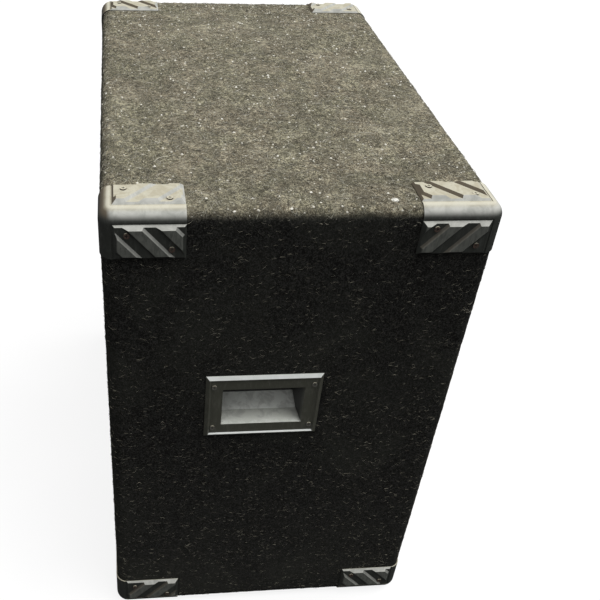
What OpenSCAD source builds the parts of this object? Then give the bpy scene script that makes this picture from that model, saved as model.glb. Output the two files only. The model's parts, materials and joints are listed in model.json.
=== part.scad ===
// Two-way carpeted loudspeaker cabinet: a 15 inch bass driver, a horn, two side
// handles, eight corner protectors and a rear socket dish.
// X runs across the width, Y runs from the front to the rear, Z runs up.
// The origin is on the ground, under the middle of the cabinet.

/* [Cabinet] */
// outside width of the wooden box
box_w = 719; // [690:1:760]
// outside depth of the wooden box
box_d = 444; // [430:1:500]
// outside height of the wooden box
box_h = 702; // [690:1:760]
// thickness of the wooden panels
panel_t = 18; // [15:1:19]
// rounding of the outside wooden edges
edge_r = 13; // [10:1:14]
// thickness of the carpet covering
carpet_t = 3; // [2:0.5:4]
// depth from the front edge back to the baffle
recess = 30; // [26:1:36]
// side of the square battens behind the baffle and the rear panel
batten = 20; // [16:1:24]

/* [Corner protectors] */
// reach of the two long legs, front to back
guard_long = 94; // [90:1:98]
// reach of the short legs
guard_short = 58; // [56:1:64]
// height of the rounded roll above the carpet
roll_rise = 1.5; // [1.2:0.1:2.4]
// height of the plate between the ribs
plate_rise = 2.8; // [2.4:0.1:3.2]
// height of the rib crests
rib_rise = 5.6; // [5:0.1:6.5]

/* [Handles] */
// width of the handle flange
grip_w = 150; // [146:1:156]
// height of the handle flange
grip_h = 103; // [100:1:108]
// width of the finger opening
grip_open_w = 106; // [100:1:108]
// height of the finger opening
grip_open_h = 60; // [56:1:62]
// distance of the handle centre from the front of the carpet
grip_y = 198; // [190:1:240]
// height of the handle centre above the bottom of the carpet
grip_z = 423; // [380:1:440]

/* [Bass driver] */
// outside radius of the driver frame
woofer_r = 194; // [190:1:196]
// height of the driver centre below the cabinet centre
woofer_drop = 120; // [118:1:126]
// radius of the ring of fixing bolts
bolt_ring_r = 185.3; // [184:0.1:186]
// outside radius of the paper cone
cone_r = 160; // [156:1:162]
// travel of the cone each way
cone_travel = 5; // [4:0.5:6]

/* [Horn and ports] */
// width of the horn flange
horn_w = 440; // [400:1:440]
// height of the horn flange
horn_h = 190; // [180:1:192]
// height of the horn centre above the cabinet centre
horn_lift = 208; // [204:1:212]
// inside radius of the port tubes
port_r = 49; // [40:1:50]
// length of the port tubes
port_len = 150; // [120:1:170]

/* [Rear sockets] */
// width of the socket dish flange
dish_w = 140; // [130:1:150]
// height of the socket dish flange
dish_h = 110; // [100:1:120]
// depth of the socket dish
dish_deep = 40; // [34:1:44]
// radius of the jack socket bore
jack_r = 3.25; // [3.2:0.01:3.3]

/* [Hidden] */
$fn = 96;
gap = 0.5;
hair = 0.1;
half_w = box_w / 2;
half_d = box_d / 2;
half_h = box_h / 2;
skin_w = half_w + carpet_t;
skin_d = half_d + carpet_t;
skin_h = half_h + carpet_t;
centre_z = skin_h + rib_rise;
inner_w = half_w - panel_t;
inner_h = half_h - panel_t;
skin_r = edge_r + carpet_t;
// skin of plastic left under the raised plates of a corner protector
crease_floor = 0.6;
baffle_front = -half_d + recess;
baffle_back = baffle_front + panel_t;
rear_front = half_d - panel_t;
woofer_z = -woofer_drop;
horn_z = horn_lift;
cutout_r = woofer_r - 18;
port_x = inner_w - port_r - batten - 6;
port_z = -inner_h + port_r + batten + 7;
port_wall = 3;
port_lip = 8;
grip_x = skin_w;
grip_cy = -skin_d + grip_y;
grip_cz = -skin_h + grip_z;
pocket_wall = 3;
pocket_deep = 46;
screw_r = 1.7;
head_r = 3.5;
head_t = 1.4;
dish_z = -60;
board_z = -190;
board_w = 220;
board_h = 130;
board_back = rear_front - 14;
brace_y = 40;
brace_h = 60;

// A block with every edge and corner rounded, centred on the origin.
module rounded_block(size, r) {
    x = size[0] / 2 - r;
    y = size[1] / 2 - r;
    z = size[2] / 2 - r;
    union() {
        cube([size[0], 2 * y, 2 * z], center = true);
        cube([2 * x, size[1], 2 * z], center = true);
        cube([2 * x, 2 * y, size[2]], center = true);
        for (a = [-1, 1])
            for (b = [-1, 1]) {
                translate([a * x, b * y, 0])
                    cylinder(h = 2 * z, r = r, center = true);
                translate([a * x, 0, b * z])
                    rotate([90, 0, 0])
                        cylinder(h = 2 * y, r = r, center = true);
                translate([0, a * y, b * z])
                    rotate([0, 90, 0])
                        cylinder(h = 2 * x, r = r, center = true);
            }
        for (a = [-1, 1])
            for (b = [-1, 1])
                for (c = [-1, 1])
                    translate([a * x, b * y, c * z])
                        sphere(r = r);
    }
}

module wood_block() {
    rounded_block([box_w, box_d, box_h], edge_r);
}

module skin_block() {
    rounded_block([2 * skin_w, 2 * skin_d, 2 * skin_h], skin_r);
}

// Cylinder along Y from y0 to y1.
module rod_y(x, z, r, y0, y1) {
    translate([x, y0, z])
        rotate([-90, 0, 0])
            cylinder(h = y1 - y0, r = r);
}

// Cylinder along X from x0 to x1.
module rod_x(y, z, r, x0, x1) {
    translate([x0, y, z])
        rotate([0, 90, 0])
            cylinder(h = x1 - x0, r = r);
}

// Turned shape about a Y axis: the profile's first number is the radius, the
// second runs from the front to the rear.
module turned_y(x, z) {
    translate([x, 0, z])
        rotate([-90, 0, 0])
            rotate_extrude()
                children();
}

// Flat head screw with a cross slot, standing on the origin, its shank running
// down -Z.
module pan_screw(long) {
    union() {
        difference() {
            cylinder(h = head_t, r = head_r);
            for (turn = [0, 90])
                rotate([0, 0, turn])
                    translate([-2, -0.4, head_t - 0.8])
                        cube([4, 0.8, 1]);
        }
        translate([0, 0, -long])
            cylinder(h = long + head_t / 4, r = screw_r);
    }
}

// The eight places of the corner protectors, all the same moulding turned round.
module guard_place(side, quarter) {
    turn = quarter * 90;
    right = quarter == 0 || quarter == 1 ? 1 : -1;
    up = quarter == 0 || quarter == 3 ? 1 : -1;
    translate([right * skin_w, side * skin_d, up * skin_h])
        rotate([0, turn, 0])
            rotate(a = side > 0 ? 180 : 0, v = [1, 0, 1])
                children();
}

module all_guards() {
    for (side = [-1, 1])
        for (quarter = [0 : 3])
            guard_place(side, quarter)
                children();
}

// The four screws of one protector: two in the side plate, two in the top one.
guard_screw_spots = [[29, 27], [78, 45], [77, 24], [27, 46]];

module guard_screw_places() {
    for (i = [0, 1])
        translate([plate_rise, guard_screw_spots[i][0], -guard_screw_spots[i][1]])
            rotate([0, 90, 0])
                children();
    for (i = [2, 3])
        translate([-guard_screw_spots[i][1], guard_screw_spots[i][0], plate_rise])
            children();
}

module guard_bores(r) {
    all_guards()
        guard_screw_places()
            translate([0, 0, -24])
                cylinder(h = 24 + head_t / 2, r = r);
}

// The four screws of each handle, on the flange's plate.
module handle_screw_places() {
    for (a = [-1, 1])
        for (b = [-1, 1])
            translate([grip_x + 2.5, grip_cy + a * 64.25, grip_cz + b * 35])
                rotate([0, 90, 0])
                    children();
}

module both_sides() {
    children();
    mirror([1, 0, 0])
        children();
}

module handle_bores(r) {
    both_sides()
        handle_screw_places()
            translate([0, 0, -22])
                cylinder(h = 22 + head_t / 2, r = r);
}

// Hole through the side panel and the carpet for the handle's pocket.
module handle_cutouts(spare) {
    both_sides()
        translate([inner_w - 1, grip_cy - grip_open_w / 2 - pocket_wall - spare,
                grip_cz - grip_open_h / 2 - pocket_wall - spare])
            cube([panel_t + carpet_t + 2, grip_open_w + 2 * (pocket_wall + spare),
                grip_open_h + 13.5 + 2 * (pocket_wall + spare)]);
}

module top_panel() {
    color("burlywood")
        translate([0, 0, centre_z])
            difference() {
                intersection() {
                    wood_block();
                    translate([0, 0, half_h - panel_t / 2])
                        cube([box_w + 2, box_d + 2, panel_t], center = true);
                }
                guard_bores(screw_r + hair);
            }
}

module bottom_panel() {
    color("burlywood")
        translate([0, 0, centre_z])
            difference() {
                intersection() {
                    wood_block();
                    translate([0, 0, -half_h + panel_t / 2])
                        cube([box_w + 2, box_d + 2, panel_t], center = true);
                }
                guard_bores(screw_r + hair);
            }
}

module side_panel(side) {
    color("burlywood")
        translate([0, 0, centre_z])
            difference() {
                intersection() {
                    wood_block();
                    translate([side * (half_w - panel_t / 2), 0, 0])
                        cube([panel_t, box_d + 2, 2 * inner_h], center = true);
                }
                guard_bores(screw_r + hair);
                handle_bores(screw_r + hair);
                handle_cutouts(gap);
            }
}

module left_side_panel() {
    side_panel(-1);
}

module right_side_panel() {
    side_panel(1);
}

module dish_cutout(spare) {
    translate([-dish_w / 2 + 14 - spare, rear_front - 1, dish_z - dish_h / 2 + 14 - spare])
        cube([dish_w - 28 + 2 * spare, panel_t + carpet_t + 2, dish_h - 28 + 2 * spare]);
}

// The places of the screws that hold the rear panel to its battens.
module rear_screw_places() {
    for (a = [-1, 0, 1])
        for (b = [-1, 1]) {
            translate([a * (inner_w - 90), skin_d, b * (inner_h - batten / 2)])
                rotate([-90, 0, 0])
                    children();
            translate([b * (inner_w - batten / 2), skin_d, a * (inner_h - 90)])
                rotate([-90, 0, 0])
                    children();
        }
}

module dish_screw_places() {
    for (a = [-1, 1])
        for (b = [-1, 1])
            translate([a * (dish_w / 2 - 7), skin_d + 2, dish_z + b * (dish_h / 2 - 7)])
                rotate([-90, 0, 0])
                    children();
}

module rear_panel() {
    color("burlywood")
        translate([0, 0, centre_z])
            difference() {
                translate([0, rear_front + panel_t / 2, 0])
                    cube([2 * inner_w - 1, panel_t, 2 * inner_h - 1], center = true);
                dish_cutout(gap);
                rear_screw_places()
                    translate([0, 0, -30])
                        cylinder(h = 31, r = screw_r + hair);
                dish_screw_places()
                    translate([0, 0, -18])
                        cylinder(h = 19, r = screw_r + hair);
            }
}

module port_centres() {
    for (a = [-1, 1])
        translate([a * port_x, 0, port_z])
            children();
}

module woofer_bolt_centres() {
    for (i = [0 : 7])
        rotate([0, 22.5 + 45 * i, 0])
            translate([bolt_ring_r, 0, 0])
                children();
}

horn_screw_x = [-205, -70, 70, 205];

module horn_screw_centres() {
    for (x = horn_screw_x)
        for (b = [-1, 1])
            translate([x, 0, horn_z + b * (horn_h / 2 - 10)])
                children();
}

module front_baffle() {
    color("dimgray")
        translate([0, 0, centre_z])
            difference() {
                translate([0, baffle_front + panel_t / 2, 0])
                    cube([2 * inner_w - 1, panel_t, 2 * inner_h - 1], center = true);
                rod_y(0, woofer_z, cutout_r, baffle_front - 1, baffle_back + 1);
                translate([0, baffle_front + panel_t / 2, horn_z])
                    cube([horn_w - 34, panel_t + 2, horn_h - 34], center = true);
                port_centres()
                    rod_y(0, 0, port_r + port_wall + hair, baffle_front - 1, baffle_back + 1);
                translate([0, 0, woofer_z])
                    woofer_bolt_centres()
                        rod_y(0, 0, 4.2, baffle_front - 1, baffle_back + 1);
                horn_screw_centres()
                    rod_y(0, 0, screw_r + hair, baffle_front - 1, baffle_back + 1);
                grille_post_centres()
                    rod_y(0, 0, 6 + hair, baffle_front - 1, baffle_front + 6);
            }
}

module batten_ring(y0) {
    difference() {
        translate([0, y0 + batten / 2, 0])
            cube([2 * inner_w, batten, 2 * inner_h], center = true);
        translate([0, y0 + batten / 2, 0])
            cube([2 * (inner_w - batten), batten + 2, 2 * (inner_h - batten)], center = true);
    }
}

module front_battens() {
    color("tan")
        translate([0, 0, centre_z])
            batten_ring(baffle_back);
}

module rear_battens() {
    color("tan")
        translate([0, 0, centre_z])
            difference() {
                batten_ring(rear_front - batten);
                rear_screw_places()
                    translate([0, 0, -32])
                        cylinder(h = 33, r = screw_r + hair);
            }
}

module inner_brace() {
    color("tan")
        translate([-inner_w, brace_y, centre_z + horn_z - horn_h / 2 - brace_h - 10])
            cube([2 * inner_w, panel_t, brace_h]);
}

module carpet_wrap() {
    color("#2b2b29")
        translate([0, 0, centre_z])
            difference() {
                skin_block();
                wood_block();
                cube([2 * inner_w, 2 * skin_d + 2, 2 * inner_h], center = true);
                guard_bores(screw_r + gap);
                handle_bores(screw_r + gap);
                handle_cutouts(gap);
            }
}

module carpet_rear() {
    color("#2b2b29")
        translate([0, 0, centre_z])
            difference() {
                translate([0, half_d + carpet_t / 2, 0])
                    cube([2 * inner_w - 1, carpet_t, 2 * inner_h - 1], center = true);
                dish_cutout(gap);
                rear_screw_places()
                    translate([0, 0, -30])
                        cylinder(h = 31, r = screw_r + gap);
                dish_screw_places()
                    translate([0, 0, -18])
                        cylinder(h = 19, r = screw_r + gap);
            }
}

grille_t = 1.5;
grille_back = -half_d + 1.5;
grille_posts = [[-300, 310], [0, 320], [300, 310], [-320, -40], [320, -40], [0, 90],
    [-190, -318], [190, -318]];

module grille_post_centres() {
    for (p = grille_posts)
        translate([p[0], 0, p[1]])
            children();
}

module grille() {
    color("#1d1d1d")
        translate([0, 0, centre_z])
            difference() {
                translate([0, grille_back - grille_t + 7, 0])
                    cube([2 * inner_w - 4, 14, 2 * inner_h - 4], center = true);
                translate([0, grille_back + 10, 0])
                    cube([2 * inner_w - 7, 20, 2 * inner_h - 7], center = true);
                grille_post_centres()
                    rod_y(0, 0, screw_r + hair, grille_back - 20, grille_back + 1);
            }
}

module grille_foam() {
    color("#151515")
        translate([0, 0, centre_z])
            difference() {
                translate([0, grille_back + 2.2, 0])
                    cube([2 * inner_w - 9, 4, 2 * inner_h - 9], center = true);
                grille_post_centres()
                    rod_y(0, 0, 6.2, grille_back - 20, grille_back + 10);
            }
}

// Screws through the grille, each with its spacer post on the baffle.
module grille_screws() {
    color("#333333")
        translate([0, 0, centre_z])
            grille_post_centres() {
                difference() {
                    rod_y(0, 0, 6, grille_back, baffle_front + 5);
                    rod_y(0, 0, screw_r + hair, grille_back - 1, baffle_front + 1);
                }
                translate([0, grille_back - grille_t, 0])
                    rotate([90, 0, 0])
                        pan_screw(24);
            }
}

// One rib: a bar with sloping sides, running outwards and away from the roll.
module rib(start) {
    slant = 41.7;
    tall = rib_rise - plate_rise;
    translate([start, 15, 0])
        rotate([0, 0, -slant])
            translate([0, -40, 0])
                rotate([-90, 0, 0])
                    linear_extrude(height = 140)
                        polygon([[0, 0], [17, 0], [14, -tall], [3, -tall]]);
}

// Outline of a protector's raised plate, drawn in by its sloping sides.
module sloped_outline(from, to, top) {
    run = top - crease_floor;
    polygon([[from, 0.2], [to, 0.2], [to, crease_floor], [to - run, top], [from + run, top],
        [from, crease_floor]]);
}

// A block over the plate's place, its four sides sloping in at 45 degrees.
module sloped_block(top) {
    intersection() {
        translate([0, guard_short, 0])
            rotate([90, 0, 0])
                linear_extrude(height = guard_short - 15)
                    sloped_outline(14, guard_long, top);
        translate([14, 0, 0])
            rotate([90, 0, 90])
                linear_extrude(height = guard_long - 14)
                    sloped_outline(15, guard_short, top);
    }
}

// A ribbed plate seen from outside: x runs along the long leg, y away from the
// roll, z outwards. Ribs and plate end in the same sloping sides.
module ribbed_plate(starts) {
    sloped_block(plate_rise);
    intersection() {
        sloped_block(rib_rise);
        for (start = starts)
            translate([0, 0, plate_rise])
                rib(start);
    }
}

side_ribs = [-13.4, 22.6, 58.6];
top_ribs = [4.4, 40.4, 76.4];

// The rounded corner volume, its outside raised above the carpet.
module corner_volume(long, short, rise, r) {
    e = rise - r;
    union() {
        translate([-short, -e, -short])
            cube([short + rise, long + e, short + e]);
        translate([-short, -e, -short])
            cube([short + e, long + e, short + rise]);
        translate([-short, -rise, -short])
            cube([short + e, long + rise, short + e]);
        translate([e, -e, -short])
            cylinder(h = short + e, r = r);
        translate([-short, -e, e])
            rotate([0, 90, 0])
                cylinder(h = short + e, r = r);
        translate([e, long, e])
            rotate([90, 0, 0])
                cylinder(h = long + e, r = r);
        translate([e, -e, e])
            sphere(r = r);
    }
}

// A corner protector for the front right top corner. Its own origin is the
// sharp corner of the carpet: it reaches to -X, +Y and -Z.
module corner_guard() {
    color("#2d2f2b")
        difference() {
            union() {
                difference() {
                    corner_volume(guard_long, guard_short, roll_rise, skin_r + roll_rise);
                    translate([crease_floor, 12.6, -guard_short - 1])
                        cube([5, guard_long, guard_short - 12]);
                    translate([-guard_short - 1, 12.6, crease_floor])
                        cube([guard_short - 12, guard_long, 5]);
                }
                side_plate();
                top_plate();
            }
            corner_volume(guard_long + 5, guard_short + 5, 0, skin_r);
            guard_screw_places()
                translate([0, 0, -20])
                    cylinder(h = 20 + 1, r = screw_r + 0.4);
            guard_screw_places()
                cylinder(h = 8, r = head_r + 0.6);
        }
}

// Plate on the side face.
module side_plate() {
    rotate([0, 90, 0])
        mirror([1, -1, 0])
            ribbed_plate(side_ribs);
}

// Plate on the top face.
module top_plate() {
    rotate([0, 0, 90])
        ribbed_plate(top_ribs);
}

module placed_guard(side, quarter) {
    translate([0, 0, centre_z])
        guard_place(side, quarter)
            corner_guard();
}

module guard_screws() {
    color("#5c4b3c")
        translate([0, 0, centre_z])
            all_guards()
                guard_screw_places()
                    pan_screw(20);
}

// Hollow of the pocket in depth and height: a level floor, a slope, the back
// wall, and finger room behind the top lip.
module pocket_profile() {
    h = grip_open_h / 2;
    polygon([[-10, -h], [25, -h], [pocket_deep, -h + 13], [pocket_deep, h + 6], [6, h + 12],
        [6, h], [-10, h]]);
}

module pocket_outer_profile() {
    h = grip_open_h / 2 + pocket_wall;
    polygon([[0, -h], [26, -h], [pocket_deep + pocket_wall, -h + 13],
        [pocket_deep + pocket_wall, h + 6], [0, h + 13]]);
}

module pocket_prism(width) {
    translate([0, width / 2, 0])
        rotate([90, 0, 0])
            linear_extrude(height = width)
                children();
}

// Section of the handle's flange: a short edge, then a broad slope up to the rim.
module rim_outline(half, rim, tall) {
    polygon([[0, -half], [0.8, -half], [tall, -half + rim], [tall, half - rim], [0.8, half],
        [0, half]]);
}

// Section of the hollow inside the rim, down to the flange's plate.
module plate_outline(half, flange) {
    polygon([[flange, -half], [flange + 3, -half - 3], [flange + 3, half + 3],
        [flange, half]]);
}

// Handle for the right side. Its own origin is the centre of the opening on the
// carpet: depth runs inwards, along -X.
module handle() {
    rim = 4.3;
    tall = 4.3;
    flange = 2.5;
    plate_w = grip_w / 2 - rim - 2.4;
    plate_h = grip_h / 2 - rim - 2.4;
    color("#34362f")
        difference() {
            union() {
                difference() {
                    intersection() {
                        rotate([90, 0, 0])
                            linear_extrude(height = grip_w, center = true)
                                rim_outline(grip_h / 2, rim, tall);
                        linear_extrude(height = grip_h, center = true)
                            rim_outline(grip_w / 2, rim, tall);
                    }
                    intersection() {
                        rotate([90, 0, 0])
                            linear_extrude(height = grip_w, center = true)
                                plate_outline(plate_h, flange);
                        linear_extrude(height = grip_h, center = true)
                            plate_outline(plate_w, flange);
                    }
                }
                mirror([1, 0, 0])
                    pocket_prism(grip_open_w + 2 * pocket_wall)
                        pocket_outer_profile();
            }
            mirror([1, 0, 0])
                intersection() {
                    pocket_prism(grip_open_w)
                        pocket_profile();
                    linear_extrude(height = 3 * grip_h, center = true)
                        polygon([[-10, -grip_open_w / 2], [0, -grip_open_w / 2],
                            [pocket_deep, -grip_open_w / 2 + 4], [pocket_deep, grip_open_w / 2 - 4],
                            [0, grip_open_w / 2], [-10, grip_open_w / 2]]);
                }
            translate([-grip_x, -grip_cy, -grip_cz])
                handle_screw_places()
                    translate([0, 0, -20])
                        cylinder(h = 21, r = screw_r + 0.4);
        }
}

module handle_right() {
    translate([grip_x, grip_cy, centre_z + grip_cz])
        handle();
}

module handle_left() {
    mirror([1, 0, 0])
        handle_right();
}

module handle_screws() {
    color("#8a8a86")
        translate([0, 0, centre_z])
            both_sides()
                handle_screw_places()
                    pan_screw(20);
}

// Bass driver. Its depths run along Y from the baffle's front face.
flange_t = 6;
basket_y = baffle_front - flange_t;
spider_y = baffle_front + 78;
plate_y = baffle_front + 96;
basket_r = cutout_r - 3;
pole_r = 31;
plate_r = 100;
magnet_r = 110;

module woofer_basket() {
    color("#222222")
        translate([0, 0, centre_z + woofer_z])
            difference() {
                union() {
                    turned_y(0, 0)
                        polygon([[cone_r + 6, basket_y], [woofer_r, basket_y], [woofer_r, baffle_front],
                            [basket_r, baffle_front], [basket_r, baffle_front + 20],
                            [112, plate_y - 14], [112, plate_y], [40, plate_y],
                            [40, plate_y - 4], [108, plate_y - 4], [108, plate_y - 17],
                            [basket_r - 4, baffle_front + 18], [basket_r - 4, baffle_front - 2],
                            [cone_r + 6, baffle_front - 2]]);
                    difference() {
                        rod_y(0, 0, 100, spider_y, spider_y + 6);
                        rod_y(0, 0, 90, spider_y - 1, spider_y + 7);
                    }
                    for (i = [0 : 5])
                        rotate([0, 30 + 60 * i, 0])
                            translate([98, spider_y, -4])
                                cube([12, 6, 8]);
                }
                for (i = [0 : 5])
                    rotate([0, 60 * i, 0])
                        translate([60, baffle_front + 26, -36])
                            cube([120, 44, 72]);
                woofer_bolt_centres()
                    rod_y(0, 0, 3, basket_y - 1, baffle_front + 1);
            }
}

module woofer_gasket() {
    color("#111111")
        translate([0, 0, centre_z + woofer_z])
            difference() {
                rod_y(0, 0, woofer_r - 2, basket_y - 2, basket_y);
                rod_y(0, 0, woofer_r - 15, basket_y - 3, basket_y + 1);
                woofer_bolt_centres()
                    rod_y(0, 0, 3, basket_y - 3, basket_y + 1);
            }
}

module woofer_front_plate() {
    color("#77777a")
        translate([0, 0, centre_z + woofer_z])
            difference() {
                rod_y(0, 0, plate_r, plate_y, plate_y + 8);
                rod_y(0, 0, 34, plate_y - 1, plate_y + 9);
            }
}

module woofer_magnet() {
    color("#3a3a3c")
        translate([0, 0, centre_z + woofer_z])
            difference() {
                rod_y(0, 0, magnet_r, plate_y + 8, plate_y + 30);
                rod_y(0, 0, 46, plate_y + 7, plate_y + 31);
            }
}

module woofer_pole_piece() {
    color("#77777a")
        translate([0, 0, centre_z + woofer_z])
            difference() {
                union() {
                    rod_y(0, 0, plate_r, plate_y + 30, plate_y + 40);
                    rod_y(0, 0, pole_r, plate_y, plate_y + 31);
                }
                rod_y(0, 0, 12, plate_y - 1, plate_y + 41);
            }
}

module woofer_bolts() {
    color("#2a2a2a")
        translate([0, 0, centre_z + woofer_z])
            woofer_bolt_centres() {
                difference() {
                    rod_y(0, 0, 5, basket_y - 7, basket_y - 2);
                    translate([0, basket_y - 7, 0])
                        rotate([90, 0, 0])
                            cylinder(h = 6, r = 2.4, center = true, $fn = 6);
                }
                rod_y(0, 0, 2.5, basket_y - 2, baffle_back + 6);
            }
}

module woofer_tee_nuts() {
    color("#b8b8b0")
        translate([0, 0, centre_z + woofer_z])
            woofer_bolt_centres()
                difference() {
                    union() {
                        rod_y(0, 0, 4, baffle_front + 6, baffle_back);
                        rod_y(0, 0, 9.5, baffle_back, baffle_back + 1.5);
                    }
                    rod_y(0, 0, 2.6, baffle_front + 5, baffle_back + 2);
                }
}

module woofer_terminals() {
    color("#b08d3c")
        translate([0, spider_y, centre_z + woofer_z])
            for (a = [-1, 1])
                translate([a * 12 - 3, 8, 111.7])
                    cube([6, 2, 14]);
}

// The moving cone. Its neck carries the voice coil.
neck_r = 33;
neck_y = baffle_front + 70;
rim_y = baffle_front - 3;
cone_t = 1.2;

module woofer_cone() {
    color("#1b1b1b")
        translate([0, 0, centre_z + woofer_z])
            turned_y(0, 0)
                polygon([[neck_r, neck_y], [62, baffle_front + 49], [104, baffle_front + 23],
                    [cone_r - 6, rim_y], [cone_r, rim_y], [cone_r, rim_y + cone_t],
                    [cone_r - 5.4, rim_y + cone_t], [104.6, baffle_front + 25],
                    [62.6, baffle_front + 51], [neck_r, neck_y + 2.6]]);
}

module woofer_dust_cap() {
    color("#202020")
        translate([0, 0, centre_z + woofer_z])
            intersection() {
                difference() {
                    translate([0, baffle_front + 106, 0])
                        sphere(r = 84);
                    translate([0, baffle_front + 106, 0])
                        sphere(r = 82.8);
                }
                rod_y(0, 0, 61.5, baffle_front, baffle_front + 48.6);
            }
}

module woofer_voice_coil() {
    color("#a8703a")
        translate([0, 0, centre_z + woofer_z])
            difference() {
                rod_y(0, 0, 33, neck_y + 1, plate_y + 10);
                rod_y(0, 0, 32.2, neck_y, plate_y + 11);
            }
}

// Half-roll surround between the cone's rim and the basket.
module woofer_surround() {
    color("#141414")
        translate([0, 0, centre_z + woofer_z])
            turned_y(0, 0)
                polygon([[cone_r + 0.4, rim_y], [cone_r + 2, rim_y - 3.4], [cone_r + 6, rim_y - 6.4],
                    [cone_r + 9.5, rim_y - 7], [cone_r + 13, rim_y - 6.4], [cone_r + 16.4, rim_y - 3.9],
                    [cone_r + 16.4, rim_y - 4.8], [cone_r + 18.6, rim_y - 4.8],
                    [cone_r + 18.6, rim_y - 3], [cone_r + 16, rim_y - 3],
                    [cone_r + 12.4, rim_y - 5.4], [cone_r + 9.5, rim_y - 5.8],
                    [cone_r + 6.4, rim_y - 5.4], [cone_r + 3, rim_y - 2.8],
                    [cone_r + 1.6, rim_y + 0.4], [cone_r + 0.4, rim_y + 0.4]]);
}

// Corrugated disc that centres the voice coil.
module woofer_spider() {
    color("#c49a4a")
        translate([0, spider_y - 1.3, centre_z + woofer_z])
            turned_y(0, 0)
                polygon([[neck_r + 0.4, 0], [42, 0], [47, -2], [52, 2], [57, -2], [62, 2], [67, -2],
                    [72, 2], [77, -2], [82, 0.5], [99, 0.5], [99, 1.3], [82, 1.3], [77, -1.2], [72, 2.8],
                    [67, -1.2], [62, 2.8], [57, -1.2], [52, 2.8], [47, -1.2], [42, 0.8],
                    [neck_r + 0.4, 0.8]]);
}

// Horn: the mouth is on the baffle, the throat is behind it.
mouth_w = horn_w - 44;
mouth_h = horn_h - 44;
throat_y = baffle_front + 170;
throat_r = 12.7;

function flare(half, wall) = [
    [throat_y, throat_r + wall], [throat_y - 40, throat_r + (half - throat_r) * 0.13 + wall],
    [throat_y - 80, throat_r + (half - throat_r) * 0.32 + wall],
    [throat_y - 115, throat_r + (half - throat_r) * 0.55 + wall],
    [throat_y - 145, throat_r + (half - throat_r) * 0.79 + wall],
    [baffle_front - 4.9, half + wall], [baffle_front - 6, half + wall]];

function mirrored(list) = [for (i = [0 : len(list) - 1]) [-list[len(list) - 1 - i][1],
    list[len(list) - 1 - i][0]]];

function outline(half, wall) = concat(
    [for (p = flare(half, wall)) [p[1], p[0]]], mirrored(flare(half, wall)));

module flare_solid(wall) {
    intersection() {
        linear_extrude(height = 2 * horn_h, center = true)
            polygon(outline(mouth_w / 2, wall));
        rotate([0, 90, 0])
            rotate([0, 0, 0])
                linear_extrude(height = 2 * horn_w, center = true)
                    polygon(outline(mouth_h / 2, wall));
    }
}

module horn_flare() {
    color("#1a1a1a")
        translate([0, 0, centre_z + horn_z])
            difference() {
                union() {
                    translate([0, baffle_front - 2.5, 0])
                        cube([horn_w, 5, horn_h], center = true);
                    intersection() {
                        flare_solid(3.5);
                        translate([0, baffle_front + 100, 0])
                            cube([horn_w, 200, horn_h], center = true);
                    }
                    rod_y(0, 0, 34, throat_y - 6, throat_y);
                }
                flare_solid(0);
                translate([0, 0, -horn_z])
                    horn_screw_centres()
                        rod_y(0, 0, screw_r + 0.4, baffle_front - 6, baffle_front + 1);
            }
}

module horn_screws() {
    color("#2a2a2a")
        translate([0, 0, centre_z])
            horn_screw_centres()
                translate([0, baffle_front - 5, 0])
                    rotate([90, 0, 0])
                        pan_screw(20);
}

module horn_driver_body() {
    color("#6e6e70")
        translate([0, 0, centre_z + horn_z])
            difference() {
                union() {
                    rod_y(0, 0, 34, throat_y, throat_y + 6);
                    rod_y(0, 0, 50, throat_y + 6, throat_y + 14);
                }
                rod_y(0, 0, throat_r, throat_y - 1, throat_y + 15);
            }
}

module horn_driver_magnet() {
    color("#3a3a3c")
        translate([0, 0, centre_z + horn_z])
            difference() {
                rod_y(0, 0, 58, throat_y + 14, throat_y + 34);
                rod_y(0, 0, 26, throat_y + 13, throat_y + 35);
            }
}

// Domed metal diaphragm of the horn driver.
module horn_driver_diaphragm() {
    color("#b9bcc0")
        translate([0, 0, centre_z + horn_z])
            intersection() {
                difference() {
                    translate([0, throat_y + 18, 0])
                        sphere(r = 28);
                    translate([0, throat_y + 18, 0])
                        sphere(r = 27.4);
                }
                rod_y(0, 0, 40, throat_y + 36, throat_y + 50);
            }
}

// Flat ring that carries the diaphragm, clamped at its outer edge.
module horn_driver_suspension() {
    color("#8d8f92")
        translate([0, throat_y + 34, centre_z + horn_z])
            turned_y(0, 0)
                polygon([[21.9, 2.2], [34, 2.2], [37, 0], [43, 0], [43, 0.4], [37.4, 0.4],
                    [34.4, 2.6], [21.9, 2.6]]);
}

module horn_driver_cover() {
    color("#222222")
        translate([0, 0, centre_z + horn_z])
            difference() {
                rod_y(0, 0, 44, throat_y + 34.4, throat_y + 54);
                rod_y(0, 0, 38, throat_y + 33, throat_y + 50);
            }
}

module port_tubes() {
    color("#181818")
        translate([0, 0, centre_z])
            port_centres()
                difference() {
                    union() {
                        rod_y(0, 0, port_r + port_wall, baffle_front, baffle_front + port_len);
                        rod_y(0, 0, port_r + port_lip, baffle_front - 3, baffle_front);
                    }
                    rod_y(0, 0, port_r, baffle_front - 4, baffle_front + port_len + 1);
                }
}

// Crossover on the inside of the rear panel.
module crossover_board() {
    color("#6b4a2a")
        translate([0, board_back, centre_z + board_z]) {
            translate([-board_w / 2, 0, -board_h / 2])
                cube([board_w, 4, board_h]);
            for (a = [-1, 1])
                for (b = [-1, 1])
                    translate([a * (board_w / 2 - 10), 3.5, b * (board_h / 2 - 10)])
                        rotate([-90, 0, 0])
                            cylinder(h = 10.5, r = 4);
        }
}

module crossover_coils() {
    color("#b8692e")
        translate([0, board_back, centre_z + board_z])
            for (x = [-72, 5])
                translate([x, 0, -20])
                    rotate([90, 0, 0])
                        difference() {
                            cylinder(h = 30, r = 30);
                            translate([0, 0, -1])
                                cylinder(h = 32, r = 14);
                        }
}

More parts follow.
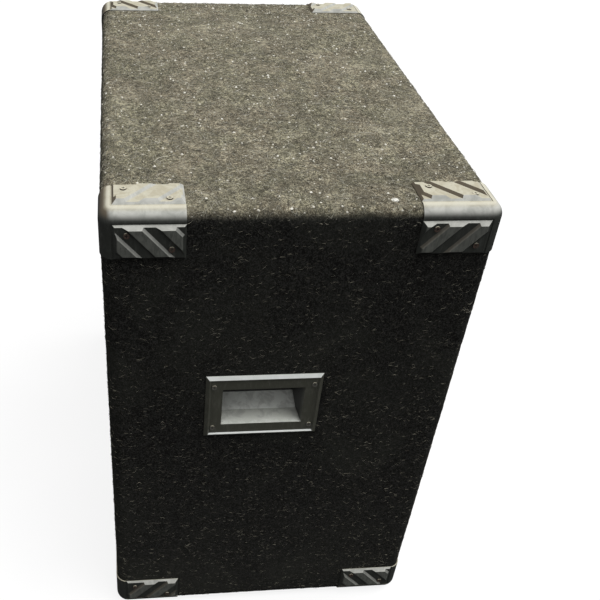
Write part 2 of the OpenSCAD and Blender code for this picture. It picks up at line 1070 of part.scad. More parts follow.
module crossover_capacitors() {
    color("#2f5fa0")
        translate([0, board_back - 10.2, centre_z + board_z])
            for (x = [-70, -10, 50])
                translate([x - 22, 0, 36])
                    rotate([0, 90, 0])
                        cylinder(h = 44, r = 10);
}

module crossover_resistors() {
    color("#e6e2d6")
        translate([0, board_back, centre_z + board_z])
            for (z = [-40, -16])
                translate([52, -10, z])
                    cube([48, 10, 10]);
}

module socket_dish() {
    wall = 2;
    in_w = dish_w - 30;
    in_h = dish_h - 30;
    color("#1b1b1b")
        translate([0, 0, centre_z + dish_z])
            difference() {
                union() {
                    translate([-dish_w / 2, skin_d, -dish_h / 2])
                        cube([dish_w, 2, dish_h]);
                    translate([-in_w / 2, skin_d - dish_deep, -in_h / 2])
                        cube([in_w, dish_deep + 1, in_h]);
                }
                translate([-in_w / 2 + wall, skin_d - dish_deep + wall, -in_h / 2 + wall])
                    cube([in_w - 2 * wall, dish_deep + 5, in_h - 2 * wall]);
                for (a = [-1, 1])
                    rod_y(a * 24, 0, 5.2, skin_d - dish_deep - 1, skin_d - dish_deep + 4);
                translate([0, 0, -dish_z])
                    dish_screw_places()
                        translate([0, 0, -8])
                            cylinder(h = 9, r = screw_r + 0.4);
            }
}

module jack_sockets() {
    color("#9a9a98")
        translate([0, 0, centre_z + dish_z])
            for (a = [-1, 1])
                difference() {
                    union() {
                        rod_y(a * 24, 0, 5, skin_d - dish_deep - 26, skin_d - dish_deep + 6);
                        rod_y(a * 24, 0, 9, skin_d - dish_deep - 26, skin_d - dish_deep);
                        translate([a * 24, skin_d - dish_deep + 2, 0])
                            rotate([-90, 0, 0])
                                cylinder(h = 2.5, r = 8, $fn = 6);
                    }
                    rod_y(a * 24, 0, jack_r, skin_d - dish_deep - 24, skin_d - dish_deep + 7);
                }
}

module socket_dish_screws() {
    color("#2a2a2a")
        translate([0, 0, centre_z])
            dish_screw_places()
                pan_screw(16);
}

module rear_panel_screws() {
    color("#2a2a2a")
        translate([0, 0, centre_z])
            rear_screw_places()
                pan_screw(30);
}

// Soft wadding against the top and the upper half of the rear panel.
module wadding() {
    color("#d8d6cf")
        translate([0, 0, centre_z]) {
            translate([-260, rear_front - batten - 60, inner_h - 26])
                cube([520, 60, 26]);
            translate([-260, rear_front - 26, 40])
                cube([520, 26, 240]);
        }
}

// A wire through a list of points, with a small rounded knee at each bend.
module wire_path(points) {
    union() {
        for (i = [0 : len(points) - 2]) {
            step = points[i + 1] - points[i];
            translate(points[i])
                rotate([0, acos(step[2] / norm(step)), atan2(step[1], step[0])])
                    cylinder(h = norm(step), r = 2);
        }
        for (i = [1 : len(points) - 2])
            translate(points[i])
                sphere(r = 2.6);
    }
}

// Wires from the sockets to the crossover and on to the two drivers.
module wiring() {
    board_top = board_z + board_h / 2 - 10;
    socket_y = skin_d - dish_deep - 26;
    tag_z = woofer_z + 125.7;
    color("#a02020")
        translate([0, 0, centre_z]) {
            wire_path([[24, socket_y, dish_z], [24, socket_y - 14, dish_z],
                [24, socket_y - 14, board_top], [24, board_back, board_top]]);
            wire_path([[95, board_back, board_top], [95, 150, board_top], [95, 150, 22],
                [12, 150, 22], [12, spider_y + 9, 22], [12, spider_y + 9, tag_z]]);
            wire_path([[-98, board_back, board_top], [-98, 150, board_top], [-98, 150, 124],
                [0, 150, 124], [0, throat_y + 44, 124], [0, throat_y + 44, horn_z - 44]]);
        }
}

top_panel();
bottom_panel();
left_side_panel();
right_side_panel();
rear_panel();
front_baffle();
front_battens();
rear_battens();
inner_brace();
carpet_wrap();
carpet_rear();
grille();
grille_foam();
grille_screws();
placed_guard(-1, 0);  // guard_front_right_top
placed_guard(-1, 1);  // guard_front_right_bottom
placed_guard(-1, 2);  // guard_front_left_bottom
placed_guard(-1, 3);  // guard_front_left_top
placed_guard(1, 0);  // guard_rear_right_top
placed_guard(1, 1);  // guard_rear_right_bottom
placed_guard(1, 2);  // guard_rear_left_bottom
placed_guard(1, 3);  // guard_rear_left_top
guard_screws();
handle_right();
handle_left();
handle_screws();
woofer_basket();
woofer_gasket();
woofer_front_plate();
woofer_magnet();
woofer_pole_piece();
woofer_bolts();
woofer_tee_nuts();
woofer_terminals();
woofer_cone();
woofer_dust_cap();
woofer_voice_coil();
woofer_surround();
woofer_spider();
horn_flare();
horn_screws();
horn_driver_body();
horn_driver_magnet();
horn_driver_cover();
horn_driver_diaphragm();
horn_driver_suspension();
port_tubes();
crossover_board();
crossover_coils();
crossover_capacitors();
crossover_resistors();
socket_dish();
jack_sockets();
socket_dish_screws();
rear_panel_screws();
wadding();
wiring();
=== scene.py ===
"""Looks for the two-way carpeted loudspeaker cabinet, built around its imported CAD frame.

X runs across the width, Y from the front to the rear, Z up, all in metres. Everything random
is seeded, so each run gives the same pieces.
"""

import json
import math

import bpy
import numpy as np
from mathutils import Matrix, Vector, noise


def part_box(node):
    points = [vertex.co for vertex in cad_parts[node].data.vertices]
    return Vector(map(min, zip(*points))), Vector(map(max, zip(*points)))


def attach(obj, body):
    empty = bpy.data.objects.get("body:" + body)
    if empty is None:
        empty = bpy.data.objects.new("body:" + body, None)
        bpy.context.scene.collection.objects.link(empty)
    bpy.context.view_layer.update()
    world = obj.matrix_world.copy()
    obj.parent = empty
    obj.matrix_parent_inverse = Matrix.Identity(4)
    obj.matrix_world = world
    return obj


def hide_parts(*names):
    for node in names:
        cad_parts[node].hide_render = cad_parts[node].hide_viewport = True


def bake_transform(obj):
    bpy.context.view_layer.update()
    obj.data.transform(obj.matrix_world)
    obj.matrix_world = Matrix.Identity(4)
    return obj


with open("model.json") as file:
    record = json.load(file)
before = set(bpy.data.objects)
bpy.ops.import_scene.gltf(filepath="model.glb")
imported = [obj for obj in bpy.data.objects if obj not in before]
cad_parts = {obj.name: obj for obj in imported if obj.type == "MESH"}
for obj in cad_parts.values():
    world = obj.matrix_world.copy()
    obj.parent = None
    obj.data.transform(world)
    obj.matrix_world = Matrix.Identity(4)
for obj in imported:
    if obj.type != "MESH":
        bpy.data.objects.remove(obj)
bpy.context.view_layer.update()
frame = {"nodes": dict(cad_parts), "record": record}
nodes = frame["nodes"]
scene = bpy.context.scene

# ---- sizes, from the frame where it holds them
skin_low, skin_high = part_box("carpet_wrap")
HALF_X = skin_high.x
HALF_Y = skin_high.y
MID_Z = (skin_low.z + skin_high.z) / 2
HALF_Z = (skin_high.z - skin_low.z) / 2
EDGE = 0.016  # outside rounding of the carpet
GUARD_LONG = 0.094  # reach of a corner protector, front to back
GUARD_SHORT = 0.058  # its reach along the other two edges
CARPET_THICK = 0.0028
RIM_GAP = 0.0018  # between the grille and the carpet turned over the rim
HANDLE_HOLE = (0.066, 0.046)  # half the opening in the carpet, front to back and upright
PAINT_BACK = -0.19  # the board is painted as far back as this
SPOT_FROM_FRONT, SPOT_FROM_SIDE = 0.327, 0.021  # a drop of pale paint on top
DUST_COLOUR = (0.22, 0.20, 0.16)
# painted shade: the black of corners, creases and faces turned down
SHADE_BLACK = (0.006, 0.006, 0.005)
CABINET = "cabinet"
CONE = "cone_assembly"


# ---- materials
class Recipe:
    """A procedural material, whose nodes are made one line at a time."""

    def __init__(self, name, rough=0.8, metal=0.0, specular=0.5):
        self.material = bpy.data.materials.new(name)
        self.material.use_nodes = True
        self.tree = self.material.node_tree
        self.shader = self.tree.nodes["Principled BSDF"]
        self.shader.inputs["Roughness"].default_value = rough
        self.shader.inputs["Metallic"].default_value = metal
        self.shader.inputs["Specular IOR Level"].default_value = specular
        self.place = self.tree.nodes.new("ShaderNodeTexCoord").outputs["Object"]

    def put(self, socket, value):
        if isinstance(value, bpy.types.NodeSocket):
            self.tree.links.new(value, socket)
        elif hasattr(value, "__len__"):
            socket.default_value = (*value, 1.0) if len(value) == 3 and len(
                socket.default_value
            ) == 4 else value
        else:
            socket.default_value = value

    def noise(self, scale, detail=3.0, rough=0.55, distortion=0.0, stretch=None):
        node = self.tree.nodes.new("ShaderNodeTexNoise")
        place = self.place
        if stretch:
            mapping = self.tree.nodes.new("ShaderNodeMapping")
            self.tree.links.new(self.place, mapping.inputs["Vector"])
            mapping.inputs["Scale"].default_value = stretch
            place = mapping.outputs["Vector"]
        self.tree.links.new(place, node.inputs["Vector"])
        self.put(node.inputs["Scale"], scale)
        self.put(node.inputs["Detail"], detail)
        self.put(node.inputs["Roughness"], rough)
        self.put(node.inputs["Distortion"], distortion)
        return node.outputs["Fac"]

    def cell_shade(self, scale):
        node = self.tree.nodes.new("ShaderNodeTexVoronoi")
        self.tree.links.new(self.place, node.inputs["Vector"])
        self.put(node.inputs["Scale"], scale)
        split = self.tree.nodes.new("ShaderNodeSeparateColor")
        self.tree.links.new(node.outputs["Color"], split.inputs[0])
        return split.outputs[0]

    def span(self, value, low, high, out_low=0.0, out_high=1.0, smooth=True):
        node = self.tree.nodes.new("ShaderNodeMapRange")
        node.interpolation_type = "SMOOTHSTEP" if smooth else "LINEAR"
        self.put(node.inputs["Value"], value)
        for key, number in zip(
            ("From Min", "From Max", "To Min", "To Max"), (low, high, out_low, out_high)
        ):
            node.inputs[key].default_value = number
        return node.outputs["Result"]

    def math(self, how, a, b=0.0):
        node = self.tree.nodes.new("ShaderNodeMath")
        node.operation = how
        self.put(node.inputs[0], a)
        self.put(node.inputs[1], b)
        return node.outputs[0]

    def mix(self, share, a, b):
        node = self.tree.nodes.new("ShaderNodeMix")
        node.data_type = "RGBA"
        self.put(node.inputs[0], share)
        self.put(node.inputs[6], a)
        self.put(node.inputs[7], b)
        return node.outputs[2]

    def facing(self, axis, low, high):
        """From 0 to 1, how far the surface faces along that axis."""
        geometry = self.tree.nodes.new("ShaderNodeNewGeometry")
        split = self.tree.nodes.new("ShaderNodeSeparateXYZ")
        self.tree.links.new(geometry.outputs["Normal"], split.inputs[0])
        return self.span(split.outputs[axis], low, high)

    def along(self, axis, low, high):
        split = self.tree.nodes.new("ShaderNodeSeparateXYZ")
        self.tree.links.new(self.place, split.inputs[0])
        return self.span(split.outputs[axis], low, high)

    def near(self, point, inner, outer):
        """1 within inner metres of a point, falling to 0 at outer."""
        node = self.tree.nodes.new("ShaderNodeVectorMath")
        node.operation = "DISTANCE"
        self.tree.links.new(self.place, node.inputs[0])
        node.inputs[1].default_value = point
        return self.span(node.outputs["Value"], inner, outer, 1.0, 0.0)

    def strokes(self, scale, width, seed_stretch, distortion=1.4):
        """Thin curly lines, where a twisted noise passes through its middle value."""
        field = self.noise(scale, 2.0, 0.5, distortion, stretch=seed_stretch)
        off = self.math("ABSOLUTE", self.math("SUBTRACT", field, 0.5))
        return self.span(off, 0.0, width, 1.0, 0.0)

    def crevice(self, distance):
        """0 deep in a corner, rising to 1 in the open."""
        node = self.tree.nodes.new("ShaderNodeAmbientOcclusion")
        node.samples = 6
        node.inputs["Distance"].default_value = distance
        return node.outputs["AO"]

    def proud(self):
        """How far outside the carpet's flat sides, top and bottom a place is, in metres."""
        split = self.tree.nodes.new("ShaderNodeSeparateXYZ")
        self.tree.links.new(self.place, split.inputs[0])
        x = self.math("SUBTRACT", self.math("ABSOLUTE", split.outputs["X"]), HALF_X)
        z = self.math("ABSOLUTE", self.math("SUBTRACT", split.outputs["Z"], MID_Z))
        return self.math("MAXIMUM", x, self.math("SUBTRACT", z, HALF_Z))

    def attribute(self, name):
        node = self.tree.nodes.new("ShaderNodeAttribute")
        node.attribute_name = name
        return node.outputs["Fac"]

    def colour(self, value):
        self.put(self.shader.inputs["Base Color"], value)

    def roughness(self, value):
        self.put(self.shader.inputs["Roughness"], value)

    def bump(self, height, strength, distance):
        node = self.tree.nodes.new("ShaderNodeBump")
        self.tree.links.new(height, node.inputs["Height"])
        node.inputs["Strength"].default_value = strength
        node.inputs["Distance"].default_value = distance
        self.tree.links.new(node.outputs["Normal"], self.shader.inputs["Normal"])


def carpet_material(name):
    """Needle-punched black carpet: matted curly fibres, with dust caught on what faces up."""
    r = Recipe(name, rough=0.95, specular=0.12)
    felt = r.noise(270, 3.0, 0.68, 1.8)
    fine = r.noise(620, 2.0, 0.65, 0.9)
    clump = r.noise(120, 3.0, 0.65, 1.0)
    blotch = r.noise(14, 4.0, 0.6, 0.6)
    haze = r.noise(6, 3.0, 0.6, 0.4)
    curly = r.math("MAXIMUM", r.strokes(90, 0.016, (1.0, 1.0, 1.0), 2.4),
                   r.strokes(140, 0.020, (1.3, 0.9, 1.1), 3.0))
    curly = r.math("MULTIPLY", curly, r.span(r.noise(210, 2.0), 0.46, 0.60))
    weave = r.math("ADD", r.math("MULTIPLY", felt, 0.75), r.math("MULTIPLY", fine, 0.25))
    lit = r.span(weave, 0.46, 0.58)
    pits = r.span(r.noise(240, 2.0, 0.6, 0.6), 0.58, 0.70)
    black = r.mix(lit, (0.0055, 0.0055, 0.0050), (0.032, 0.032, 0.029))
    black = r.mix(r.math("MULTIPLY", curly, 0.12), black, (0.060, 0.060, 0.054))
    faded = r.span(r.noise(7, 3.0, 0.6, 0.5), 0.40, 0.66, 0.0, 0.32)
    black = r.mix(faded, black, (0.040, 0.042, 0.034))
    # painted light: the carpet is painted lighter towards the bottom, standing in for light thrown
    # up from the floor
    painted_floor_light = r.mix(0.12, black, (0.06, 0.06, 0.054))
    black = r.mix(r.along("Z", MID_Z - HALF_Z, MID_Z + 0.1), painted_floor_light, black)
    bare = r.mix(r.span(blotch, 0.38, 0.62), (0.094, 0.086, 0.056), (0.112, 0.092, 0.062))
    pale = r.mix(r.span(blotch, 0.38, 0.62), (0.560, 0.523, 0.362), (0.575, 0.518, 0.374))
    dusty = r.mix(r.math("MULTIPLY", lit, r.span(clump, 0.36, 0.60, 0.40, 1.0)), bare, pale)
    dusty = r.mix(r.math("MULTIPLY", curly, 0.95), dusty, (0.66, 0.63, 0.50))
    dusty = r.mix(r.span(haze, 0.50, 0.72, 0.0, 0.30), dusty, (0.44, 0.41, 0.30))
    patch = r.noise(34, 3.0, 0.6, 0.8)
    broad = r.noise(4.5, 2.0, 0.5, 0.5)
    gloom = r.math(
        "ADD", r.span(patch, 0.36, 0.60, 0.40, 0.0), r.span(broad, 0.36, 0.62, 0.18, 0.0)
    )
    dusty = r.mix(gloom, dusty, (0.058, 0.054, 0.040))
    dusty = r.mix(r.span(patch, 0.56, 0.74, 0.0, 0.5), dusty, (0.46, 0.43, 0.32))
    dusty = r.mix(r.math("MULTIPLY", pits, 0.85), dusty, (0.020, 0.018, 0.013))
    up = r.facing("Z", 0.16, 0.98)
    grip = r.span(r.math("ADD", clump, r.math("MULTIPLY", fine, 0.5)), 0.50, 1.0, 0.80, 1.1)
    carpet = r.mix(r.math("MULTIPLY", up, grip), black, dusty)
    spot = r.near(
        (HALF_X - SPOT_FROM_SIDE, SPOT_FROM_FRONT - HALF_Y, MID_Z + HALF_Z), 0.0035, 0.0050
    )
    spot = r.math("MULTIPLY", spot, r.span(r.noise(380, 3.0, 0.6, 0.8), 0.36, 0.46))
    r.colour(r.mix(spot, carpet, (0.90, 0.89, 0.82)))
    relief = r.math("ADD", weave, r.math("MULTIPLY", clump, 0.8))
    r.bump(r.math("ADD", relief, r.math("MULTIPLY", curly, 0.35)), 0.85, 0.0013)
    return r.material


def fibre_material(name, dark, light, dusted):
    """Loose fibres: the shade of each is a number on its vertices, and those on top are dusty."""
    r = Recipe(name, rough=0.9, specular=0.2)
    shade = r.attribute("shade")
    clean = r.mix(shade, dark, light)
    colour = r.mix(r.facing("Z", 0.2, 0.8), clean, r.mix(shade, dusted[0], dusted[1]))
    darker = r.mix(0.5, (0, 0, 0), colour)
    r.colour(r.mix(r.span(r.noise(700, 2.0), 0.3, 0.7, 0.0, 0.4), colour, darker))
    return r.material


def dusty_plastic_with_painted_light(name, clean, lighter, dust, clean_rough, wear_shade_highlight=None, paint_pocket_shade=False):
    """Moulded black plastic with a fine grain, scuffs, and dust on what faces up.

    The dust is beige where it lies level. On a slope it is painted greyer and lighter as a
    highlight, with a brighter painted highlight along rounded brows and painted shade on slopes
    facing the front; corners, creases, faces turned down and the depths of a pocket are painted
    dark as shade."""
    r = Recipe(name, rough=clean_rough, specular=0.5)
    grain = r.noise(2600, 2.0, 0.6)
    scuff = r.noise(70, 5.0, 0.7, 0.8, stretch=(1.0, 3.5, 1.0))
    cloud = r.noise(60, 4.0, 0.65, 0.7)
    body = r.mix(r.span(scuff, 0.45, 0.75), clean, lighter)
    film = r.mix(r.span(cloud, 0.38, 0.62), dust[0], dust[1])
    film = r.mix(r.span(grain, 0.35, 0.65, 0.0, 0.3), film, dust[2])
    # painted highlight: slopes get their own colours, dust[3] and dust[4], greyer than level dust
    # and on the handle brighter
    slope_dust_and_painted_light = r.mix(r.span(cloud, 0.30, 0.70), dust[3], dust[4])
    if wear_shade_highlight:
        # painted shade: slopes that face the front are painted dark brown
        slope_dust_and_painted_light = r.mix(r.facing("Y", -0.50, -0.15), wear_shade_highlight[1], slope_dust_and_painted_light)
        rubbed = r.span(scuff, 0.34, 0.62, 0.45, 1.0)
        chafed = r.math("MULTIPLY", r.span(r.proud(), 0.0040, 0.0054), rubbed)
        body = r.mix(chafed, body, wear_shade_highlight[0])
        # painted shade: faces turned down are painted black
        body = r.mix(r.facing("Z", -0.75, -0.25), SHADE_BLACK, body)
    # painted highlight: where a face tilts from level, the slope colours replace the level dust
    film = r.mix(r.facing("Z", 0.72, 0.985), slope_dust_and_painted_light, film)
    if paint_pocket_shade:
        # painted shade: more than 2 mm into the pocket, the plastic is painted near black and its
        # dust darker
        deep = r.span(r.proud(), -0.010, -0.002, 1.0, 0.0)
        body = r.mix(deep, body, (0.007, 0.007, 0.006))
        pocket_shade = r.math("MULTIPLY", deep, r.span(cloud, 0.42, 0.62, 0.0, 0.45))
        film = r.mix(pocket_shade, film, (0.22, 0.23, 0.20))
    if wear_shade_highlight:
        # painted highlight: a bright cream band where a rounded brow turns from level
        brow_highlight = r.math("MULTIPLY", r.facing("Z", 0.86, 0.93), r.facing("Z", 0.995, 0.965))
        film = r.mix(r.math("MULTIPLY", brow_highlight, 0.35), film, wear_shade_highlight[2])
    up = r.facing("Z", 0.25, 0.75)
    worn = r.span(r.math("ADD", cloud, r.math("MULTIPLY", grain, 0.4)), 0.45, 0.95, 1.0, 0.84)
    share = r.math("MULTIPLY", up, worn)
    # painted shade: corners and creases, found by ambient occlusion, darken the dust and turn the
    # plastic black
    shade = r.span(r.crevice(0.006), 0.25, 0.85)
    dark = r.mix(0.72, film, (0.05, 0.046, 0.036))
    film = r.mix(shade, dark, film)
    body = r.mix(shade, SHADE_BLACK, body)
    r.colour(r.mix(share, body, film))
    r.roughness(r.span(share, 0.0, 1.0, clean_rough, 0.85, smooth=False))
    r.bump(r.math("ADD", grain, r.math("MULTIPLY", scuff, 0.6)), 0.25, 0.00025)
    return r.material


def metal_skin(name, clean, worn, rough, metal=0.0, dust=0.25, scale=160):
    """Painted, plated or cast metal: mottled, finely pitted, a little dust on top."""
    r = Recipe(name, rough=rough, metal=metal)
    mottle = r.noise(scale, 4.0, 0.6, 0.3)
    fine = r.noise(scale * 9, 2.0, 0.6)
    colour = r.mix(r.span(mottle, 0.35, 0.7), clean, worn)
    up = r.facing("Z", 0.45, 1.0)
    share = r.math("MULTIPLY", up, r.span(mottle, 0.3, 0.7, dust * 0.6, dust))
    r.colour(r.mix(share, colour, DUST_COLOUR))
    r.roughness(r.span(mottle, 0.3, 0.7, rough * 0.85, min(1.0, rough * 1.25)))
    r.bump(r.math("ADD", fine, mottle), 0.2, 0.0002)
    return r.material


def rusty_metal(name, steel, rust, amount):
    """Old screw steel, dull with rust, dusty where it faces up, and painted black as shade in its
    slot and round its head.
    """
    r = Recipe(name, rough=0.7, metal=0.0, specular=0.4)
    spread = r.noise(420, 5.0, 0.7, 0.6)
    fine = r.noise(2200, 3.0, 0.6)
    pattern = r.math("ADD", spread, r.math("MULTIPLY", fine, 0.3))
    share = r.span(pattern, 0.9 - amount, 1.05 - amount)
    reds = r.mix(r.span(fine, 0.35, 0.65), rust[0], rust[1])
    metal = r.mix(share, steel, reds)
    metal = r.mix(r.facing("Z", 0.5, 0.95), metal, (0.52, 0.49, 0.38))
    # painted shade: the slot and the crevice round the head are painted black
    r.colour(r.mix(r.span(r.crevice(0.0014), 0.50, 0.90), (0.004, 0.004, 0.004), metal))
    r.bump(r.math("ADD", fine, spread), 0.5, 0.0003)
    return r.material


def wood_skin(name, pale, deep, stretch, flakes=False, coat=None, coat_back=None):
    """Raw board or softwood, or board under matt paint, all over or as far back as coat_back."""
    r = Recipe(name, rough=0.75)
    grain = r.noise(90, 5.0, 0.6, 0.8, stretch=stretch)
    fine = r.noise(900, 2.0, 0.6)
    colour = r.mix(r.span(grain, 0.35, 0.65), pale, deep)
    if flakes:
        chips = r.cell_shade(260)
        colour = r.mix(r.span(chips, 0.1, 0.9, 0.15, 0.6), colour, deep)
    if coat:
        bare = colour
        colour = r.mix(r.span(grain, 0.3, 0.75), coat[0], coat[1])
        if coat_back:
            colour = r.mix(r.along("Y", coat_back, coat_back + 0.001), colour, bare)
    r.colour(r.mix(r.span(fine, 0.3, 0.7, 0.0, 0.18), colour, r.mix(0.6, (0, 0, 0), colour)))
    r.bump(r.math("ADD", fine, grain), 0.35, 0.0004)
    return r.material


def cloth_skin(name, pale, deep, scale, rough=0.9, bump=0.5):
    """Woven or felted soft material: two shades by thread, and a soft relief."""
    r = Recipe(name, rough=rough, specular=0.25)
    threads = r.noise(scale, 3.0, 0.6, 1.6)
    fine = r.noise(scale * 3, 2.0, 0.6)
    blotch = r.noise(30, 3.0, 0.6)
    colour = r.mix(r.span(threads, 0.38, 0.64), deep, pale)
    r.colour(r.mix(r.span(blotch, 0.3, 0.7, 0.0, 0.3), colour, deep))
    r.bump(r.math("ADD", threads, r.math("MULTIPLY", fine, 0.5)), bump, 0.0006)
    return r.material


def wound_skin(name, bright, dark, rough, metal, turns):
    """Wire or foil wound in fine turns."""
    r = Recipe(name, rough=rough, metal=metal)
    lines = r.noise(30, 1.0, 0.5, 0.0, stretch=turns)
    mottle = r.noise(200, 3.0, 0.6)
    colour = r.mix(r.span(lines, 0.38, 0.62), dark, bright)
    r.colour(r.mix(r.span(mottle, 0.3, 0.7, 0.0, 0.3), colour, dark))
    r.bump(lines, 0.6, 0.0006)
    return r.material


# guard dust: three level tones, then two slope colours that are painted highlight
GUARD_DUST_AND_HIGHLIGHT = (
    (0.44, 0.405, 0.300), (0.60, 0.575, 0.455), (0.36, 0.33, 0.25),
    (0.36, 0.365, 0.335), (0.60, 0.600, 0.555),
)
# handle dust: three level tones, then two brighter slope colours that are painted highlight
POCKET_DUST_AND_HIGHLIGHT = (
    (0.60, 0.62, 0.56), (0.80, 0.82, 0.76), (0.46, 0.47, 0.42),
    (0.72, 0.75, 0.72), (0.92, 0.94, 0.92),
)
# rubbed wear on proud edges, painted shade for slopes facing the front, and a painted highlight for
# brows
GUARD_WEAR_SHADE_HIGHLIGHT = ((0.125, 0.130, 0.116), (0.110, 0.088, 0.058), (0.82, 0.80, 0.68))
RUST = ((0.045, 0.026, 0.018), (0.085, 0.050, 0.036))
MATT_BLACK = ((0.012, 0.012, 0.012), (0.030, 0.030, 0.029))
EVEN = (1.0, 1.0, 1.0)  # no stretch along any axis

SKIN_RECIPES = {
    "cabinet_board": (
        wood_skin, (0.46, 0.33, 0.19), (0.30, 0.19, 0.10), EVEN, True, MATT_BLACK, PAINT_BACK
    ),
    "painted_board": (wood_skin, (0.4, 0.3, 0.2), (0.3, 0.2, 0.1), EVEN, False, MATT_BLACK),
    "softwood": (wood_skin, (0.60, 0.44, 0.25), (0.42, 0.27, 0.13), (0.15, 1.0, 1.0)),
    "carpet": (carpet_material,),
    "grille_steel": (metal_skin, (0.016, 0.016, 0.016), (0.035, 0.034, 0.032), 0.55),
    "foam": (cloth_skin, (0.030, 0.030, 0.030), (0.006, 0.006, 0.006), 900, 1.0, 0.9),
    "black_screw": (metal_skin, (0.02, 0.02, 0.02), (0.06, 0.055, 0.05), 0.4, 0.4),
    "guard_plastic": (
        dusty_plastic_with_painted_light, (0.026, 0.028, 0.024), (0.050, 0.054, 0.048), GUARD_DUST_AND_HIGHLIGHT, 0.42, GUARD_WEAR_SHADE_HIGHLIGHT
    ),
    "rusty_screw": (rusty_metal, (0.050, 0.046, 0.040), RUST, 0.36),
    "plated_screw": (rusty_metal, (0.11, 0.11, 0.095), RUST, 0.22),
    "handle_plastic": (
        dusty_plastic_with_painted_light, (0.062, 0.063, 0.049), (0.100, 0.101, 0.082), POCKET_DUST_AND_HIGHLIGHT, 0.38, None, True
    ),
    "frame_steel": (metal_skin, (0.018, 0.018, 0.018), (0.045, 0.044, 0.042), 0.5, 0.2),
    "gasket_board": (cloth_skin, (0.035, 0.033, 0.030), (0.015, 0.014, 0.013), 500),
    "plate_steel": (metal_skin, (0.42, 0.41, 0.38), (0.60, 0.57, 0.47), 0.35, 0.9),
    "ferrite": (metal_skin, (0.030, 0.030, 0.032), (0.060, 0.060, 0.062), 0.6),
    "nickel": (metal_skin, (0.55, 0.54, 0.50), (0.40, 0.38, 0.33), 0.28, 1.0),
    "brass_tag": (metal_skin, (0.60, 0.44, 0.17), (0.40, 0.27, 0.10), 0.35, 1.0),
    "cone_paper": (cloth_skin, (0.045, 0.044, 0.042), (0.018, 0.018, 0.017), 260),
    "copper": (wound_skin, (0.72, 0.34, 0.16), (0.35, 0.13, 0.06), 0.35, 1.0, (1, 60, 1)),
    "surround_cloth": (cloth_skin, (0.040, 0.040, 0.038), (0.014, 0.014, 0.013), 1100),
    "spider_cloth": (cloth_skin, (0.58, 0.40, 0.15), (0.36, 0.22, 0.07), 900),
    "black_plastic": (metal_skin, (0.014, 0.014, 0.014), (0.030, 0.030, 0.029), 0.45),
    "diaphragm_metal": (metal_skin, (0.62, 0.63, 0.65), (0.48, 0.48, 0.50), 0.25, 1.0),
    "fibre_board": (cloth_skin, (0.20, 0.11, 0.045), (0.12, 0.06, 0.025), 400, 0.7, 0.3),
    "capacitor_film": (wound_skin, (0.55, 0.42, 0.06), (0.38, 0.27, 0.03), 0.35, 0.0, (12, 1, 1)),
    "resistor_ceramic": (cloth_skin, (0.62, 0.60, 0.55), (0.48, 0.46, 0.41), 700),
    "wadding_felt": (cloth_skin, (0.66, 0.66, 0.63), (0.44, 0.44, 0.42), 240, 1.0, 0.9),
    "wire_sleeve": (metal_skin, (0.30, 0.015, 0.012), (0.20, 0.010, 0.010), 0.4),
}
SKINS = {name: make(name, *details) for name, (make, *details) in SKIN_RECIPES.items()}

for entry in frame["record"]["materials"]:
    if entry["slot"] not in SKINS:
        raise SystemExit(f"no skin for {entry['slot']}")


# ---- mesh helpers
def mesh_piece(name, points, faces, skin, body=CABINET, smooth=True):
    """A new piece from points and faces, with its skin, riding on a body."""
    mesh = bpy.data.meshes.new(name)
    mesh.from_pydata([tuple(p) for p in points], [], [tuple(int(i) for i in f) for f in faces])
    mesh.update()
    piece = bpy.data.objects.new(name, mesh)
    scene.collection.objects.link(piece)
    mesh.materials.append(skin)
    mesh.polygons.foreach_set("use_smooth", [smooth] * len(mesh.polygons))
    if body:
        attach(piece, body)
    return piece


def grid_faces(rows, columns, closed):
    """Quads of a grid of points, row by row; closed joins the last column to the first."""
    last = columns if closed else columns - 1
    r, c = np.meshgrid(np.arange(rows - 1), np.arange(last), indexing="ij")
    a = (r * columns + c).ravel()
    b = (r * columns + (c + 1) % columns).ravel()
    return np.stack([a, b, b + columns, a + columns], 1)


def face_normals(points, faces):
    normal = np.cross(
        points[faces[:, 2]] - points[faces[:, 0]], points[faces[:, 3]] - points[faces[:, 1]]
    )
    size = np.linalg.norm(normal, axis=1)
    return normal / np.maximum(size, 1e-12)[:, None], size / 2


def point_normals(points, faces):
    normal, area = face_normals(points, faces)
    total = np.zeros_like(points)
    for k in range(4):
        np.add.at(total, faces[:, k], normal * area[:, None])
    return total / np.maximum(np.linalg.norm(total, axis=1), 1e-12)[:, None]


def lumps(points, scale, seed):
    """Smooth noise at each point, about -1 to 1."""
    shift = Vector((seed * 7.3, seed * 3.1, seed * 5.7))
    return np.array([noise.noise(Vector(p) * scale + shift) for p in points])


def ring(half_x, half_z, radius, per_side, per_arc):
    """Points round a rounded rectangle in X and Z, anticlockwise from the right side."""
    out = []
    cx, cz = half_x - radius, half_z - radius
    corners = ((cx, cz, 0), (-cx, cz, 90), (-cx, -cz, 180), (cx, -cz, 270))
    arcs = []
    for x, z, start in corners:
        turn = np.radians(start + np.linspace(0, 90, per_arc + 1))
        arcs.append(np.stack([x + radius * np.cos(turn), z + radius * np.sin(turn)], 1))
    for k in range(4):
        begin, end = arcs[k - 1][-1], arcs[k][0]
        share = np.linspace(0, 1, per_side + 1)[1:-1, None]
        out += [arcs[k - 1][-1:], begin + (end - begin) * share, arcs[k][:-1]]
    return np.concatenate(out)


def tidy_points(points, faces):
    """Drops the points that no face uses."""
    used, faces = np.unique(faces, return_inverse=True)
    return points[used], faces.reshape(-1, 4)


# ---- carpet
STEP = 0.0042  # spacing of the carpet's points


